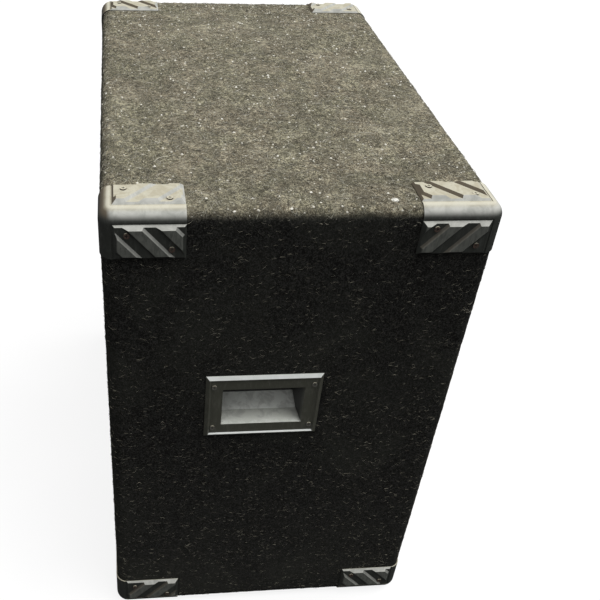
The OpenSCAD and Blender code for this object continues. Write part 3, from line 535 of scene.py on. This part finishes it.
def carpet_wrap():
    """One length of carpet glued round the four sides, turned over the front and rear rims."""
    rim = HALF_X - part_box("grille")[1].x - RIM_GAP
    arc = 6
    turn = np.radians(np.linspace(0, 90, arc + 1))
    rows = [(rim, -HALF_Y + CARPET_THICK), (rim, -HALF_Y), (EDGE, -HALF_Y)]
    rows += [(EDGE - EDGE * math.sin(t), -HALF_Y + EDGE - EDGE * math.cos(t)) for t in turn[1:]]
    depth = HALF_Y - EDGE
    count = int(2 * depth / STEP)
    rows += [(0.0, y) for y in np.linspace(-depth, depth, count + 1)[1:-1]]
    rows += [(d, -y) for d, y in reversed(rows[:3] + rows[3 : 3 + arc])]
    per_side = int(2 * HALF_X / STEP)
    rings = []
    for inset, y in rows:
        xz = ring(HALF_X - inset, HALF_Z - inset, max(EDGE - inset, 0.0), per_side, 6)
        rings.append(np.stack([xz[:, 0], np.full(len(xz), y), xz[:, 1] + MID_Z], 1))
    points = np.concatenate(rings)
    faces = grid_faces(len(rows), len(rings[0]), True)
    middle = points[faces].mean(1)
    grip_low, grip_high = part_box("handle_right")
    cy, cz = (grip_low.y + grip_high.y) / 2, (grip_low.z + grip_high.z) / 2
    hole = (
        (np.abs(middle[:, 0]) > HALF_X - 0.001)
        & (np.abs(middle[:, 1] - cy) < HANDLE_HOLE[0])
        & (np.abs(middle[:, 2] - cz) < HANDLE_HOLE[1])
    )
    faces = faces[~hole]
    points, faces = tidy_points(points, faces)
    normals = point_normals(points, faces)
    outward = (points - (0, 0, MID_Z)) * (1, 0, 1)
    if (normals * outward).sum() < 0:
        faces, normals = faces[:, ::-1], -normals
    relief = 0.00034 * lumps(points, 120, 1) + 0.00022 * lumps(points, 250, 2)
    relief += 0.00030 * lumps(points, 18, 3) - 0.00025
    points = points + normals * relief[:, None]
    return points, faces


def carpet_rear():
    """The flat piece of carpet on the rear panel, with its dish cutout."""
    low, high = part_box("carpet_rear")
    dish_low, dish_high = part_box("socket_dish")
    xs = np.linspace(low.x + 0.0005, high.x - 0.0005, 150)
    zs = np.linspace(low.z + 0.0005, high.z - 0.0005, 148)
    xs, zs = np.append(xs[0], xs), np.append(zs[0], zs)
    xs, zs = np.append(xs, xs[-1]), np.append(zs, zs[-1])
    x, z = np.meshgrid(xs, zs, indexing="ij")
    y = np.full_like(x, HALF_Y)
    y[[0, -1], :] = HALF_Y - 0.0026
    y[:, [0, -1]] = HALF_Y - 0.0026
    points = np.stack([x.ravel(), y.ravel(), z.ravel()], 1)
    faces = grid_faces(len(xs), len(zs), False)
    middle = points[faces].mean(1)
    hole = (
        (middle[:, 0] > dish_low.x + 0.012)
        & (middle[:, 0] < dish_high.x - 0.012)
        & (middle[:, 2] > dish_low.z + 0.012)
        & (middle[:, 2] < dish_high.z - 0.012)
    )
    points, faces = tidy_points(points, faces[~hole])
    normals = point_normals(points, faces)
    if normals[:, 1].sum() < 0:
        faces = faces[:, ::-1]
    relief = 0.00034 * lumps(points, 120, 4) + 0.00022 * lumps(points, 250, 5) - 0.0002
    flat = points[:, 1] > HALF_Y - 0.001
    points[flat, 1] += relief[flat]
    return points, faces


wrap_points, wrap_faces = carpet_wrap()
wrap = mesh_piece("carpet_wrap_cloth", wrap_points, wrap_faces, SKINS["carpet"])
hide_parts("carpet_wrap")
rear_points, rear_faces = carpet_rear()
rear = mesh_piece("carpet_rear_cloth", rear_points, rear_faces, SKINS["carpet"])
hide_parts("carpet_rear")


# ---- loose fibres, lint and specks
def scatter(points, faces, count, rng, keep=None):
    """Random places on the faces, with the outward normal of each."""
    normal, area = face_normals(points, faces)
    middle = points[faces].mean(1)
    weight = area * (1.0 if keep is None else keep(middle, normal))
    chosen = rng.choice(len(faces), count, p=weight / weight.sum())
    u, v = rng.random((2, count, 1))
    a, b, c, d = (points[faces[chosen, k]] for k in range(4))
    return (a * (1 - u) + b * u) * (1 - v) + (d * (1 - u) + c * u) * v, normal[chosen]


def clear_of_fittings(middle):
    """Leaves out what the corner protectors and the handles cover."""
    x, y = np.abs(middle[:, 0]), np.abs(middle[:, 1])
    z = np.abs(middle[:, 2] - MID_Z)
    guard = (
        (x > HALF_X - GUARD_SHORT - 0.001)
        & (y > HALF_Y - GUARD_LONG - 0.001)
        & (z > HALF_Z - GUARD_SHORT - 0.001)
    )
    grip_low, grip_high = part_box("handle_right")
    grip = (
        (x > HALF_X - 0.002)
        & (middle[:, 1] > grip_low.y - 0.001)
        & (middle[:, 1] < grip_high.y + 0.001)
        & (middle[:, 2] > grip_low.z - 0.001)
        & (middle[:, 2] < grip_high.z + 0.001)
    )
    return np.where(guard | grip, 0.0, 1.0)


def tangents(normals, rng):
    """A random direction along the surface at each place, and the one across it."""
    rough = rng.normal(size=normals.shape)
    along = rough - normals * (rough * normals).sum(1)[:, None]
    along /= np.linalg.norm(along, axis=1)[:, None]
    return along, np.cross(normals, along)


def lies_on_carpet(lines):
    """Which strands stay on the cabinet's rounded skin over their whole length."""
    half = np.array([HALF_X, HALF_Y, HALF_Z]) - EDGE
    reach = np.maximum(np.abs(lines - (0, 0, MID_Z)) - half, 0.0)
    return (np.linalg.norm(reach, axis=-1) - EDGE < 0.0020).all(1)


def strand_mesh(name, lines, widths, shades, skin):
    """Strands as thin three-sided tubes. lines is count x steps x 3."""
    good = lies_on_carpet(lines)
    lines, widths, shades = lines[good], widths[good], shades[good]
    count, steps = lines.shape[:2]
    ahead = np.gradient(lines, axis=1)
    ahead /= np.maximum(np.linalg.norm(ahead, axis=2, keepdims=True), 1e-12)
    helper = np.where(np.abs(ahead[..., 2:]) > 0.8, (1.0, 0, 0), (0, 0, 1.0))
    side = np.cross(ahead, helper)
    side /= np.maximum(np.linalg.norm(side, axis=2, keepdims=True), 1e-12)
    other = np.cross(ahead, side)
    taper = np.sin(np.linspace(0.15, math.pi - 0.15, steps))[None, :, None] ** 0.5
    radius = widths[:, None, None] / 2 * taper
    around = [
        lines + radius * (side * math.cos(t) + other * math.sin(t))
        for t in (0.0, 2 * math.pi / 3, 4 * math.pi / 3)
    ]
    points = np.stack(around, 2).reshape(-1, 3)
    strand = (np.arange(count) * steps * 3)[:, None, None]
    first = strand + (np.arange(steps - 1) * 3)[None, :, None]
    k = np.arange(3)[None, None, :]
    a, b = first + k, first + (k + 1) % 3
    faces = np.stack([a, b, b + 3, a + 3], -1).reshape(-1, 4)
    piece = mesh_piece(name, points, faces, skin)
    attribute = piece.data.attributes.new("shade", "FLOAT", "POINT")
    attribute.data.foreach_set("value", np.repeat(shades, steps * 3).astype(np.float32))
    return piece


def short_fibres(name, points, faces, count, seed, skin, keep, long=(0.0025, 0.0075),
                 wide=(0.00020, 0.00046)):
    """The carpet's own fibres that stand out of the felt, each a bowed stroke."""
    rng = np.random.default_rng(seed)
    place, normal = scatter(points, faces, count, rng, keep)
    along, across = tangents(normal, rng)
    length = rng.uniform(*long, (count, 1))
    bow = rng.normal(0, 0.22, (count, 1)) * length
    rise = rng.uniform(0.0001, 0.0007, (count, 1))
    share = np.array([-0.5, 0.0, 0.5])
    lines = np.stack(
        [
            place + along * length * s + across * bow * (1 - 4 * s * s)
            + normal * (rise * (1 - 3.2 * s * s) + 0.00005)
            for s in share
        ],
        1,
    )
    widths = rng.uniform(*wide, count)
    return strand_mesh(name, lines, widths, rng.random(count) ** 1.3, skin)


def curls(name, points, faces, count, seed, skin, keep, long=(0.006, 0.030), wide=(0.0002, 0.0004)):
    """Lint: longer curly strands that lie on the carpet."""
    rng = np.random.default_rng(seed)
    place, normal = scatter(points, faces, count, rng, keep)
    along, across = tangents(normal, rng)
    steps = 9
    size = rng.uniform(*long, count) * rng.uniform(0.4, 1.0, count)
    bend = rng.normal(0, 1.4, count)
    twist = rng.normal(0, 2.0, count)
    heading = np.zeros(count)
    at = place + normal * 0.0004
    lines = [at]
    for k in range(1, steps):
        heading = heading + (bend + twist * math.sin(k * 1.1)) / (steps - 1)
        ahead = along * np.cos(heading)[:, None] + across * np.sin(heading)[:, None]
        at = at + ahead * (size / (steps - 1))[:, None]
        lines.append(at)
    lines = np.stack(lines, 1)
    lift = rng.uniform(0.0, 0.0012, (count, 1)) * np.sin(np.linspace(0, math.pi, steps))[None]
    lines = lines + normal[:, None, :] * lift[..., None]
    return strand_mesh(name, lines, rng.uniform(*wide, count), rng.random(count), skin)


def specks(name, points, faces, count, seed, skin, keep, size=(0.00035, 0.0011)):
    """Crumbs and flecks: small flattened lumps, each its own shape."""
    rng = np.random.default_rng(seed)
    place, normal = scatter(points, faces, count, rng, keep)
    along, across = tangents(normal, rng)
    half = size[0] + (size[1] - size[0]) * rng.random((count, 1)) ** 2.5
    corner = []
    for k in range(5):
        turn = 2 * math.pi * k / 5
        reach = half * rng.uniform(0.6, 1.3, (count, 1))
        corner.append(place + along * reach * math.cos(turn) + across * reach * math.sin(turn))
    top = place + normal * half * rng.uniform(0.5, 1.1, (count, 1))
    rounds = np.stack([*corner, top], 1) + normal[:, None, :] * 0.0001
    first = (np.arange(count) * 6)[:, None]
    tri = np.array([[k, (k + 1) % 5, 5] for k in range(5)])
    faces3 = (first[:, None] + tri[None]).reshape(-1, 3)
    piece = mesh_piece(name, rounds.reshape(-1, 3), faces3, skin)
    attribute = piece.data.attributes.new("shade", "FLOAT", "POINT")
    attribute.data.foreach_set("value", np.repeat(rng.random(count), 6).astype(np.float32))
    return piece


def keep_top(middle, normal):
    return clear_of_fittings(middle) * (normal[:, 2] > 0.5)


def keep_sides(middle, normal):
    return clear_of_fittings(middle) * (normal[:, 2] <= 0.5)


fuzz_skin = fibre_material(
    "carpet_fibre", (0.010, 0.010, 0.009), (0.030, 0.030, 0.027),
    ((0.10, 0.09, 0.07), (0.74, 0.70, 0.56)),
)
lint_skin = fibre_material(
    "lint", (0.20, 0.19, 0.16), (0.62, 0.60, 0.52), ((0.40, 0.37, 0.29), (0.85, 0.82, 0.70))
)
fleck_skin = fibre_material(
    "flecks", (0.16, 0.15, 0.13), (0.50, 0.48, 0.42), ((0.55, 0.52, 0.42), (0.90, 0.88, 0.80))
)
side_lint_skin = fibre_material(
    "side_lint", (0.09, 0.088, 0.076), (0.36, 0.35, 0.31), ((0.3, 0.28, 0.22), (0.6, 0.57, 0.48))
)
strand_skin = fibre_material(
    "strands", (0.03, 0.03, 0.027), (0.08, 0.078, 0.07), ((0.30, 0.285, 0.22), (0.70, 0.68, 0.55))
)
COUNT = 1.0
lint_pieces = []
for name, seed, count, keep in (
    ("carpet_fibres_top_1", 11, 13000, keep_top),
    ("carpet_fibres_top_2", 21, 13000, keep_top),
    ("carpet_fibres_sides_1", 12, 10000, keep_sides),
    ("carpet_fibres_sides_2", 22, 10000, keep_sides),
):
    lint_pieces.append(
        short_fibres(name, wrap_points, wrap_faces, int(count * COUNT), seed, fuzz_skin, keep)
    )
lint_pieces += [
    curls("lint_top", wrap_points, wrap_faces, 520, 13, lint_skin, keep_top, (0.006, 0.026),
          (0.00028, 0.00060)),
    curls("lint_sides", wrap_points, wrap_faces, 100, 14, side_lint_skin, keep_sides,
          (0.004, 0.022), (0.00012, 0.00026)),
    short_fibres("strands_top", wrap_points, wrap_faces, int(4200 * COUNT), 19, strand_skin,
                 keep_top, (0.005, 0.012), (0.00045, 0.00080)),
    specks("specks_top", wrap_points, wrap_faces, 1500, 15, fleck_skin, keep_top,
           (0.0005, 0.0019)),
    specks("specks_sides", wrap_points, wrap_faces, 420, 16, side_lint_skin, keep_sides,
           (0.0002, 0.0007)),
]
rear_fuzz = short_fibres(
    "carpet_fibres_rear", rear_points, rear_faces, int(7000 * COUNT), 17, fuzz_skin, None
)
rear_specks = specks(
    "specks_rear", rear_points, rear_faces, 200, 18, lint_skin, None, (0.0002, 0.0007)
)


# ---- perforated grille and its foam
def joined(parts):
    """Several (points, faces) pairs as one."""
    points, faces, start = [], [], 0
    for some_points, some_faces in parts:
        points.append(some_points)
        faces += [tuple(int(i) + start for i in face) for face in some_faces]
        start += len(some_points)
    return np.concatenate(points), faces


def perforated_sheet(half_x, half_z, front, thick, posts):
    """A sheet of hexagonal cells, each with a hexagonal hole but at the rim and the posts."""
    pitch, hole, margin = 0.010, 0.0041, 0.0085
    turn = np.radians(30 + 60 * np.arange(6))
    outer = pitch / math.sqrt(3) * np.stack([np.cos(turn), np.sin(turn)], 1)
    inner = hole * np.stack([np.cos(turn), np.sin(turn)], 1)
    row_gap = pitch * math.sqrt(3) / 2
    limit = np.array([half_x, half_z])
    index, points, faces = {}, [], []

    def at(x, z, y):
        key = (round(x, 6), round(z, 6), round(y, 6))
        if key not in index:
            index[key] = len(points)
            points.append((x, y, z + MID_Z))
        return index[key]

    rows, columns = int(half_z / row_gap) + 1, int(half_x / pitch) + 1
    for row in range(-rows, rows + 1):
        for column in range(-columns, columns + 1):
            centre = np.array([(column + 0.5 * (row % 2)) * pitch, row * row_gap])
            cell = np.clip(centre + outer, -limit, limit)
            wide, tall = np.ptp(cell, axis=0)
            if wide < 1e-5 or tall < 1e-5:
                continue
            rim = (np.abs(centre) > limit - margin).any()
            post = (np.hypot(*(posts - centre).T) < margin).any()
            near = [at(x, z, front) for x, z in cell]
            far = [at(x, z, front + thick) for x, z in cell]
            if rim or post:
                corners = list(dict.fromkeys(near))
                backs = list(dict.fromkeys(far))
                faces += [tuple(corners), tuple(reversed(backs))]
                continue
            lip = [at(x, z, front) for x, z in centre + inner]
            base = [at(x, z, front + thick) for x, z in centre + inner]
            for k in range(6):
                n = (k + 1) % 6
                faces.append((near[k], near[n], lip[n], lip[k]))
                faces.append((far[n], far[k], base[k], base[n]))
                faces.append((lip[k], lip[n], base[n], base[k]))
    return np.array(points), faces


def ring_loop(sections, half_x, half_z, radius, per_side, per_arc, flip=False):
    """A closed section, as (inset, y) pairs, swept round a rounded rectangle."""
    rings = []
    for inset, y in [*sections, sections[0]]:
        xz = ring(half_x - inset, half_z - inset, max(radius - inset, 0.0002), per_side, per_arc)
        rings.append(np.stack([xz[:, 0], np.full(len(xz), y), xz[:, 1] + MID_Z], 1))
    faces = grid_faces(len(rings), len(rings[0]), True)
    return np.concatenate(rings), faces[:, ::-1] if flip else faces


def grille_piece():
    """Perforated steel sheet, folded back all round."""
    low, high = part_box("grille")
    half_x, half_z = high.x, (high.z - low.z) / 2
    thick, fold = 0.0012, 0.0022
    # no holes where the screws' spacer posts stand behind the sheet
    paired = ((0.300, 0.310), (0.320, -0.040), (0.190, -0.318))
    posts = np.array([[0, 0.320], [0, 0.090]] + [[s * x, z] for s in (-1, 1) for x, z in paired])
    sheet = perforated_sheet(half_x - fold, half_z - fold, low.y, thick, posts)
    turn = np.radians(np.linspace(0, 90, 5))
    outside = [(fold - fold * math.sin(t), low.y + fold - fold * math.cos(t)) for t in turn]
    small = fold - thick
    inside = [
        (fold - small * math.sin(t), low.y + fold - small * math.cos(t)) for t in reversed(turn)
    ]
    section = [*outside, (0.0, high.y), (thick, high.y), *inside]
    points, faces = joined([sheet, ring_loop(section, half_x, half_z, 0.006, 12, 4)])
    piece = mesh_piece("grille_sheet", points, faces, SKINS["grille_steel"],
                       smooth=False)
    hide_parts("grille")
    return piece


def rounded_pad(low, high, radius, spacing, relief, seed):
    """A block of soft material: rounded edges, and a lumpy skin that stays inside its box."""
    low, high = np.array(low), np.array(high)
    count = np.maximum(((high - low) / spacing).astype(int), 3)
    points, faces, index = [], [], {}
    for axis in range(3):
        u, v = (axis + 1) % 3, (axis + 2) % 3
        for end in (0, 1):
            grid = {}
            for i in range(count[u] + 1):
                for j in range(count[v] + 1):
                    key = [0, 0, 0]
                    key[axis], key[u], key[v] = end * count[axis], i, j
                    key = tuple(int(k) for k in key)
                    if key not in index:
                        index[key] = len(points)
                        points.append(low + (high - low) * np.array(key) / count)
                    grid[i, j] = index[key]
            for i in range(count[u]):
                for j in range(count[v]):
                    quad = (grid[i, j], grid[i + 1, j], grid[i + 1, j + 1], grid[i, j + 1])
                    faces.append(quad if end else quad[::-1])
    points = np.array(points)
    core = np.clip(points, low + radius, high - radius)
    out = points - core
    size = np.maximum(np.linalg.norm(out, axis=1, keepdims=True), 1e-9)
    points = core + out / size * radius
    rough = 0.5 + 0.5 * lumps(points, 22, seed) + 0.35 * lumps(points, 70, seed + 1)
    points = points - out / size * (relief * np.clip(rough, 0.0, 1.0))[:, None]
    return points, faces


def padded_piece(name, node, blocks, skin):
    """One piece made of several padded blocks."""
    points, faces = joined(blocks)
    piece = mesh_piece(name, points, faces, SKINS[skin])
    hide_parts(node)
    return piece


grille_piece()
foam_low, foam_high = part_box("grille_foam")
padded_piece(
    "grille_foam_sheet", "grille_foam",
    [rounded_pad(foam_low, foam_high, 0.0014, 0.012, 0.0004, 31)], "foam",
)
pad_low, pad_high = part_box("wadding")
PAD_THICK = 0.026  # thickness of both pads
pad_split = MID_Z + 0.280  # where the rear pad ends, under the top one
padded_piece(
    "wadding_pads", "wadding",
    [
        rounded_pad(
            (pad_low.x, pad_low.y, pad_high.z - PAD_THICK), pad_high - Vector((0, 0.020, 0)),
            0.011, 0.010, 0.005, 33,
        ),
        rounded_pad(
            (pad_low.x, pad_high.y - PAD_THICK, pad_low.z), (pad_high.x, pad_high.y, pad_split),
            0.011, 0.010, 0.005, 35,
        ),
    ],
    "wadding_felt",
)


# ---- cone and its flexing rings
def turned(outline, axis_z, first=0.0, last=360.0, steps=96):
    """A closed outline of (radius, y) points, turned round an axis along Y at that height.

    Its first half is one face and its second half the other, so quads close a sector's ends."""
    whole = last - first >= 360.0
    turn = np.radians(np.linspace(first, last, steps + 1))
    turn = turn[:-1] if whole else turn
    radius, y = np.array(outline).T
    rings = np.stack(
        [
            np.outer(radius, np.cos(turn)), np.repeat(y[:, None], len(turn), 1),
            np.outer(radius, np.sin(turn)) + axis_z,
        ],
        -1,
    )
    rings = np.concatenate([rings, rings[:1]])
    faces = grid_faces(len(rings), len(turn), whole).tolist()
    count, columns = len(outline), len(turn)
    faces = [[i % (count * columns) for i in face] for face in faces]
    if not whole:
        for k in range(count // 2 - 1):
            cap = [k, k + 1, count - 2 - k, count - 1 - k]
            faces.append([i * columns for i in cap])
            faces.append([i * columns + columns - 1 for i in reversed(cap)])
    return rings[:-1].reshape(-1, 3), faces


def cone_outline(neck_r, rim_r, neck_y, rim_y, thick):
    """From the neck to the rim: a curved cone with pressed rings towards the rim."""
    land = rim_r - 0.006
    radius = np.linspace(neck_r, land, 70)
    share = (radius - neck_r) / (land - neck_r)
    front = neck_y + (rim_y - neck_y) * share**0.85
    rings = np.clip((share - 0.45) / 0.08, 0, 1) * np.clip((0.95 - share) / 0.08, 0, 1)
    front = front + 0.0005 * rings * np.sin((share - 0.45) * 2 * math.pi * 11)
    face = list(zip(radius, front)) + [(rim_r, rim_y)]
    return face + [(r, y + thick) for r, y in reversed(face)]


def roll_outline(inner_r, outer_r, base_y, rise, thick):
    """A half-roll with a lip glued over the cone's edge and a flat flange outside it."""
    half = (outer_r - inner_r - 0.0024) / 2
    turn = np.linspace(0.25, math.pi - 0.75, 15)
    top = [(inner_r + half * (1 - math.cos(t)), base_y - rise * math.sin(t)) for t in turn]
    low = [
        (inner_r + half - (half - thick) * math.cos(t), base_y - (rise - thick) * math.sin(t))
        for t in reversed(turn)
    ]
    flange = [(outer_r, top[-1][1]), (outer_r, low[0][1])]
    lip_r, lip_y = inner_r - 0.0042, base_y - 0.0003
    return [(lip_r, lip_y - thick), *top, *flange, *low, (lip_r, lip_y)]


def corrugated_outline(inner_r, outer_r, middle_y, height, waves, thick):
    """A disc pressed in rings, flat at its inner and outer edges."""
    radius = np.linspace(inner_r, outer_r, 90)
    share = (radius - inner_r) / (outer_r - inner_r)
    fade = np.clip(share / 0.12, 0, 1) * np.clip((0.76 - share) / 0.06, 0, 1)
    wave = middle_y + height * fade * np.sin(share / 0.76 * 2 * math.pi * waves)
    face = list(zip(radius, wave))
    return face + [(r, y + thick) for r, y in reversed(face)]


def keep_ends_sharp(mesh, columns):
    """Marks the edges round a sector's two ends, so that its rounded faces shade on their own."""
    ends = np.zeros(2 * len(mesh.edges), dtype=np.int32)
    mesh.edges.foreach_get("vertices", ends)
    column = ends.reshape(-1, 2) % columns
    sharp = (column == 0).all(1) | (column == columns - 1).all(1)
    mesh.attributes.new("sharp_edge", "BOOLEAN", "EDGE").data.foreach_set("value", sharp)


def flexing_ring(name, node, outline, axis_z, count, skin):
    """A ring cut into sectors, each its own piece with sharp ends, riding on no body."""
    for k in range(count):
        first, last = 360 / count * k, 360 / count * (k + 1)
        points, faces = turned(outline, axis_z, first, last, 96 // count)
        piece = mesh_piece(f"{name}_{k + 1:02d}", points, faces, SKINS[skin], body=None)
        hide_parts(node)
        keep_ends_sharp(piece.data, 96 // count + 1)
        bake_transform(piece)


def box_facts(node):
    """A turned node's outer radius, its first and last y, and the height of its axis."""
    low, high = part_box(node)
    return (high.x - low.x) / 2, low.y, high.y, (low.z + high.z) / 2


def bass_driver():
    """The bass driver's cone, the surround glued over its edge and the spider on its coil."""
    rim_r, rim_y, neck_back, axis_z = box_facts("woofer_cone")
    neck_r = (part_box("woofer_voice_coil")[1].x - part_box("woofer_voice_coil")[0].x) / 2
    outline = cone_outline(neck_r, rim_r, neck_back - 0.0026, rim_y, 0.0020)
    points, faces = turned(outline, axis_z)
    cone = mesh_piece("cone_paper", points, faces, SKINS["cone_paper"], CONE)
    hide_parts("woofer_cone")
    outer_r, crest_y, _, _ = box_facts("woofer_surround")
    outline = roll_outline(rim_r + 0.0004, outer_r, rim_y, rim_y - crest_y, 0.0012)
    flexing_ring("surround", "woofer_surround", outline, axis_z,
                 32, "surround_cloth")
    outer_r, front, back, _ = box_facts("woofer_spider")
    outline = corrugated_outline(neck_r - 0.0001, outer_r, (front + back - 0.0008) / 2, 0.0019, 4,
                                 0.0008)
    flexing_ring("spider", "woofer_spider", outline, axis_z,
                 16, "spider_cloth")


def horn_driver():
    """The ring round the horn's diaphragm, with a lip glued under the diaphragm's rim."""
    outer_r, front, back, axis_z = box_facts("horn_driver_suspension")
    inner_r, rim_y, _, _ = box_facts("horn_driver_diaphragm")
    lip_r, lip_y = inner_r - 0.0012, rim_y - 0.0001
    outline = [
        (lip_r, lip_y - 0.0004), (inner_r + 0.0008, lip_y - 0.0004),
        (outer_r - 0.009, back - 0.0004),
        (outer_r - 0.006, front), (outer_r, front), (outer_r, front + 0.0004),
        (outer_r - 0.0056, front + 0.0004), (outer_r - 0.0086, back), (inner_r + 0.0008, lip_y),
        (lip_r, lip_y),
    ]
    flexing_ring("suspension", "horn_driver_suspension", outline, axis_z,
                 8, "diaphragm_metal")


bass_driver()
horn_driver()


# ---- carried-over CAD nodes
def soften(node, width, segments=2, angle=35):
    """Rounds a CAD node's sharp edges, as moulding or painting does."""
    piece = nodes[node]
    weld = piece.modifiers.new("weld", "WELD")
    weld.merge_threshold = 0.00002
    bevel = piece.modifiers.new("round", "BEVEL")
    bevel.width = width
    bevel.segments = segments
    bevel.limit_method = "ANGLE"
    bevel.angle_limit = math.radians(angle)
    bevel.harden_normals = False
    bevel.use_clamp_overlap = True
    piece.modifiers.new("normals", "WEIGHTED_NORMAL").keep_sharp = True


for entry in frame["record"]["subparts"]:
    held = nodes[entry["node"]].data.materials
    held[0] = SKINS[entry["material_slot"]]
GUARDS = [name for name in nodes if name.startswith("guard_") and name != "guard_screws"]
for name in (*GUARDS, "handle_right", "handle_left", "horn_flare", "socket_dish"):
    soften(name, 0.0007)


# ---- floor, light and camera
def studio_floor():
    """A white floor that takes a faint shadow and throws no light back on the object."""
    size = 9.0
    r = Recipe("studio_floor", rough=0.9, specular=0.0)
    r.colour(r.mix(r.span(r.noise(3, 2.0), 0.3, 0.7), (0.17, 0.17, 0.17), (0.19, 0.19, 0.19)))
    r.shader.inputs["Emission Color"].default_value = (1.0, 1.0, 1.0, 1.0)
    r.shader.inputs["Emission Strength"].default_value = 0.84
    r.material.cycles.emission_sampling = "NONE"
    floor = mesh_piece(
        "studio_floor", [(-size, -size, 0), (size, -size, 0), (size, size, 0), (-size, size, 0)],
        [(0, 1, 2, 3)], r.material, body=None,
    )
    floor.visible_diffuse = False
    floor.visible_glossy = False


def studio_light():
    """A large soft light overhead, with the room growing dark towards the floor."""
    world = bpy.data.worlds.new("studio")
    scene.world = world
    world.use_nodes = True
    tree = world.node_tree
    sky = tree.nodes["Background"]
    place = tree.nodes.new("ShaderNodeTexCoord")
    split = tree.nodes.new("ShaderNodeSeparateXYZ")
    tree.links.new(place.outputs["Generated"], split.inputs[0])
    rise = tree.nodes.new("ShaderNodeMapRange")
    rise.interpolation_type = "SMOOTHSTEP"
    tree.links.new(split.outputs["Z"], rise.inputs["Value"])
    for key, value in (("From Min", -0.5), ("From Max", 0.8), ("To Min", 0.05), ("To Max", 0.62)):
        rise.inputs[key].default_value = value
    path = tree.nodes.new("ShaderNodeLightPath")
    seen = tree.nodes.new("ShaderNodeMix")
    tree.links.new(path.outputs["Is Camera Ray"], seen.inputs["Factor"])
    tree.links.new(rise.outputs["Result"], seen.inputs["A"])
    seen.inputs["B"].default_value = 1.0
    tree.links.new(seen.outputs["Result"], sky.inputs["Strength"])
    sky.inputs["Color"].default_value = (1.0, 1.0, 1.0, 1.0)
    lamp = bpy.data.lights.new("overhead", "SUN")
    lamp.energy = 2.6
    lamp.angle = math.radians(50)
    sun = bpy.data.objects.new("overhead", lamp)
    scene.collection.objects.link(sun)
    sun.rotation_euler = Vector((0.10, 0.42, 1.0)).to_track_quat("Z", "Y").to_euler()


def photo_camera():
    """Stands right of the cabinet, looking down on its right side, as the photograph does."""
    data = bpy.data.cameras.new("camera")
    camera = bpy.data.objects.new("camera", data)
    scene.collection.objects.link(camera)
    scene.camera = camera
    camera.location = (1.1385, -0.197, 1.158)
    camera.rotation_euler = [math.radians(a) for a in (50.23, -2.34, 84.58)]
    data.lens = 49.8
    data.sensor_width = 36.0
    data.shift_x = 0.1477
    data.shift_y = 0.0990


studio_floor()
studio_light()
photo_camera()
scene.view_settings.view_transform = "Standard"
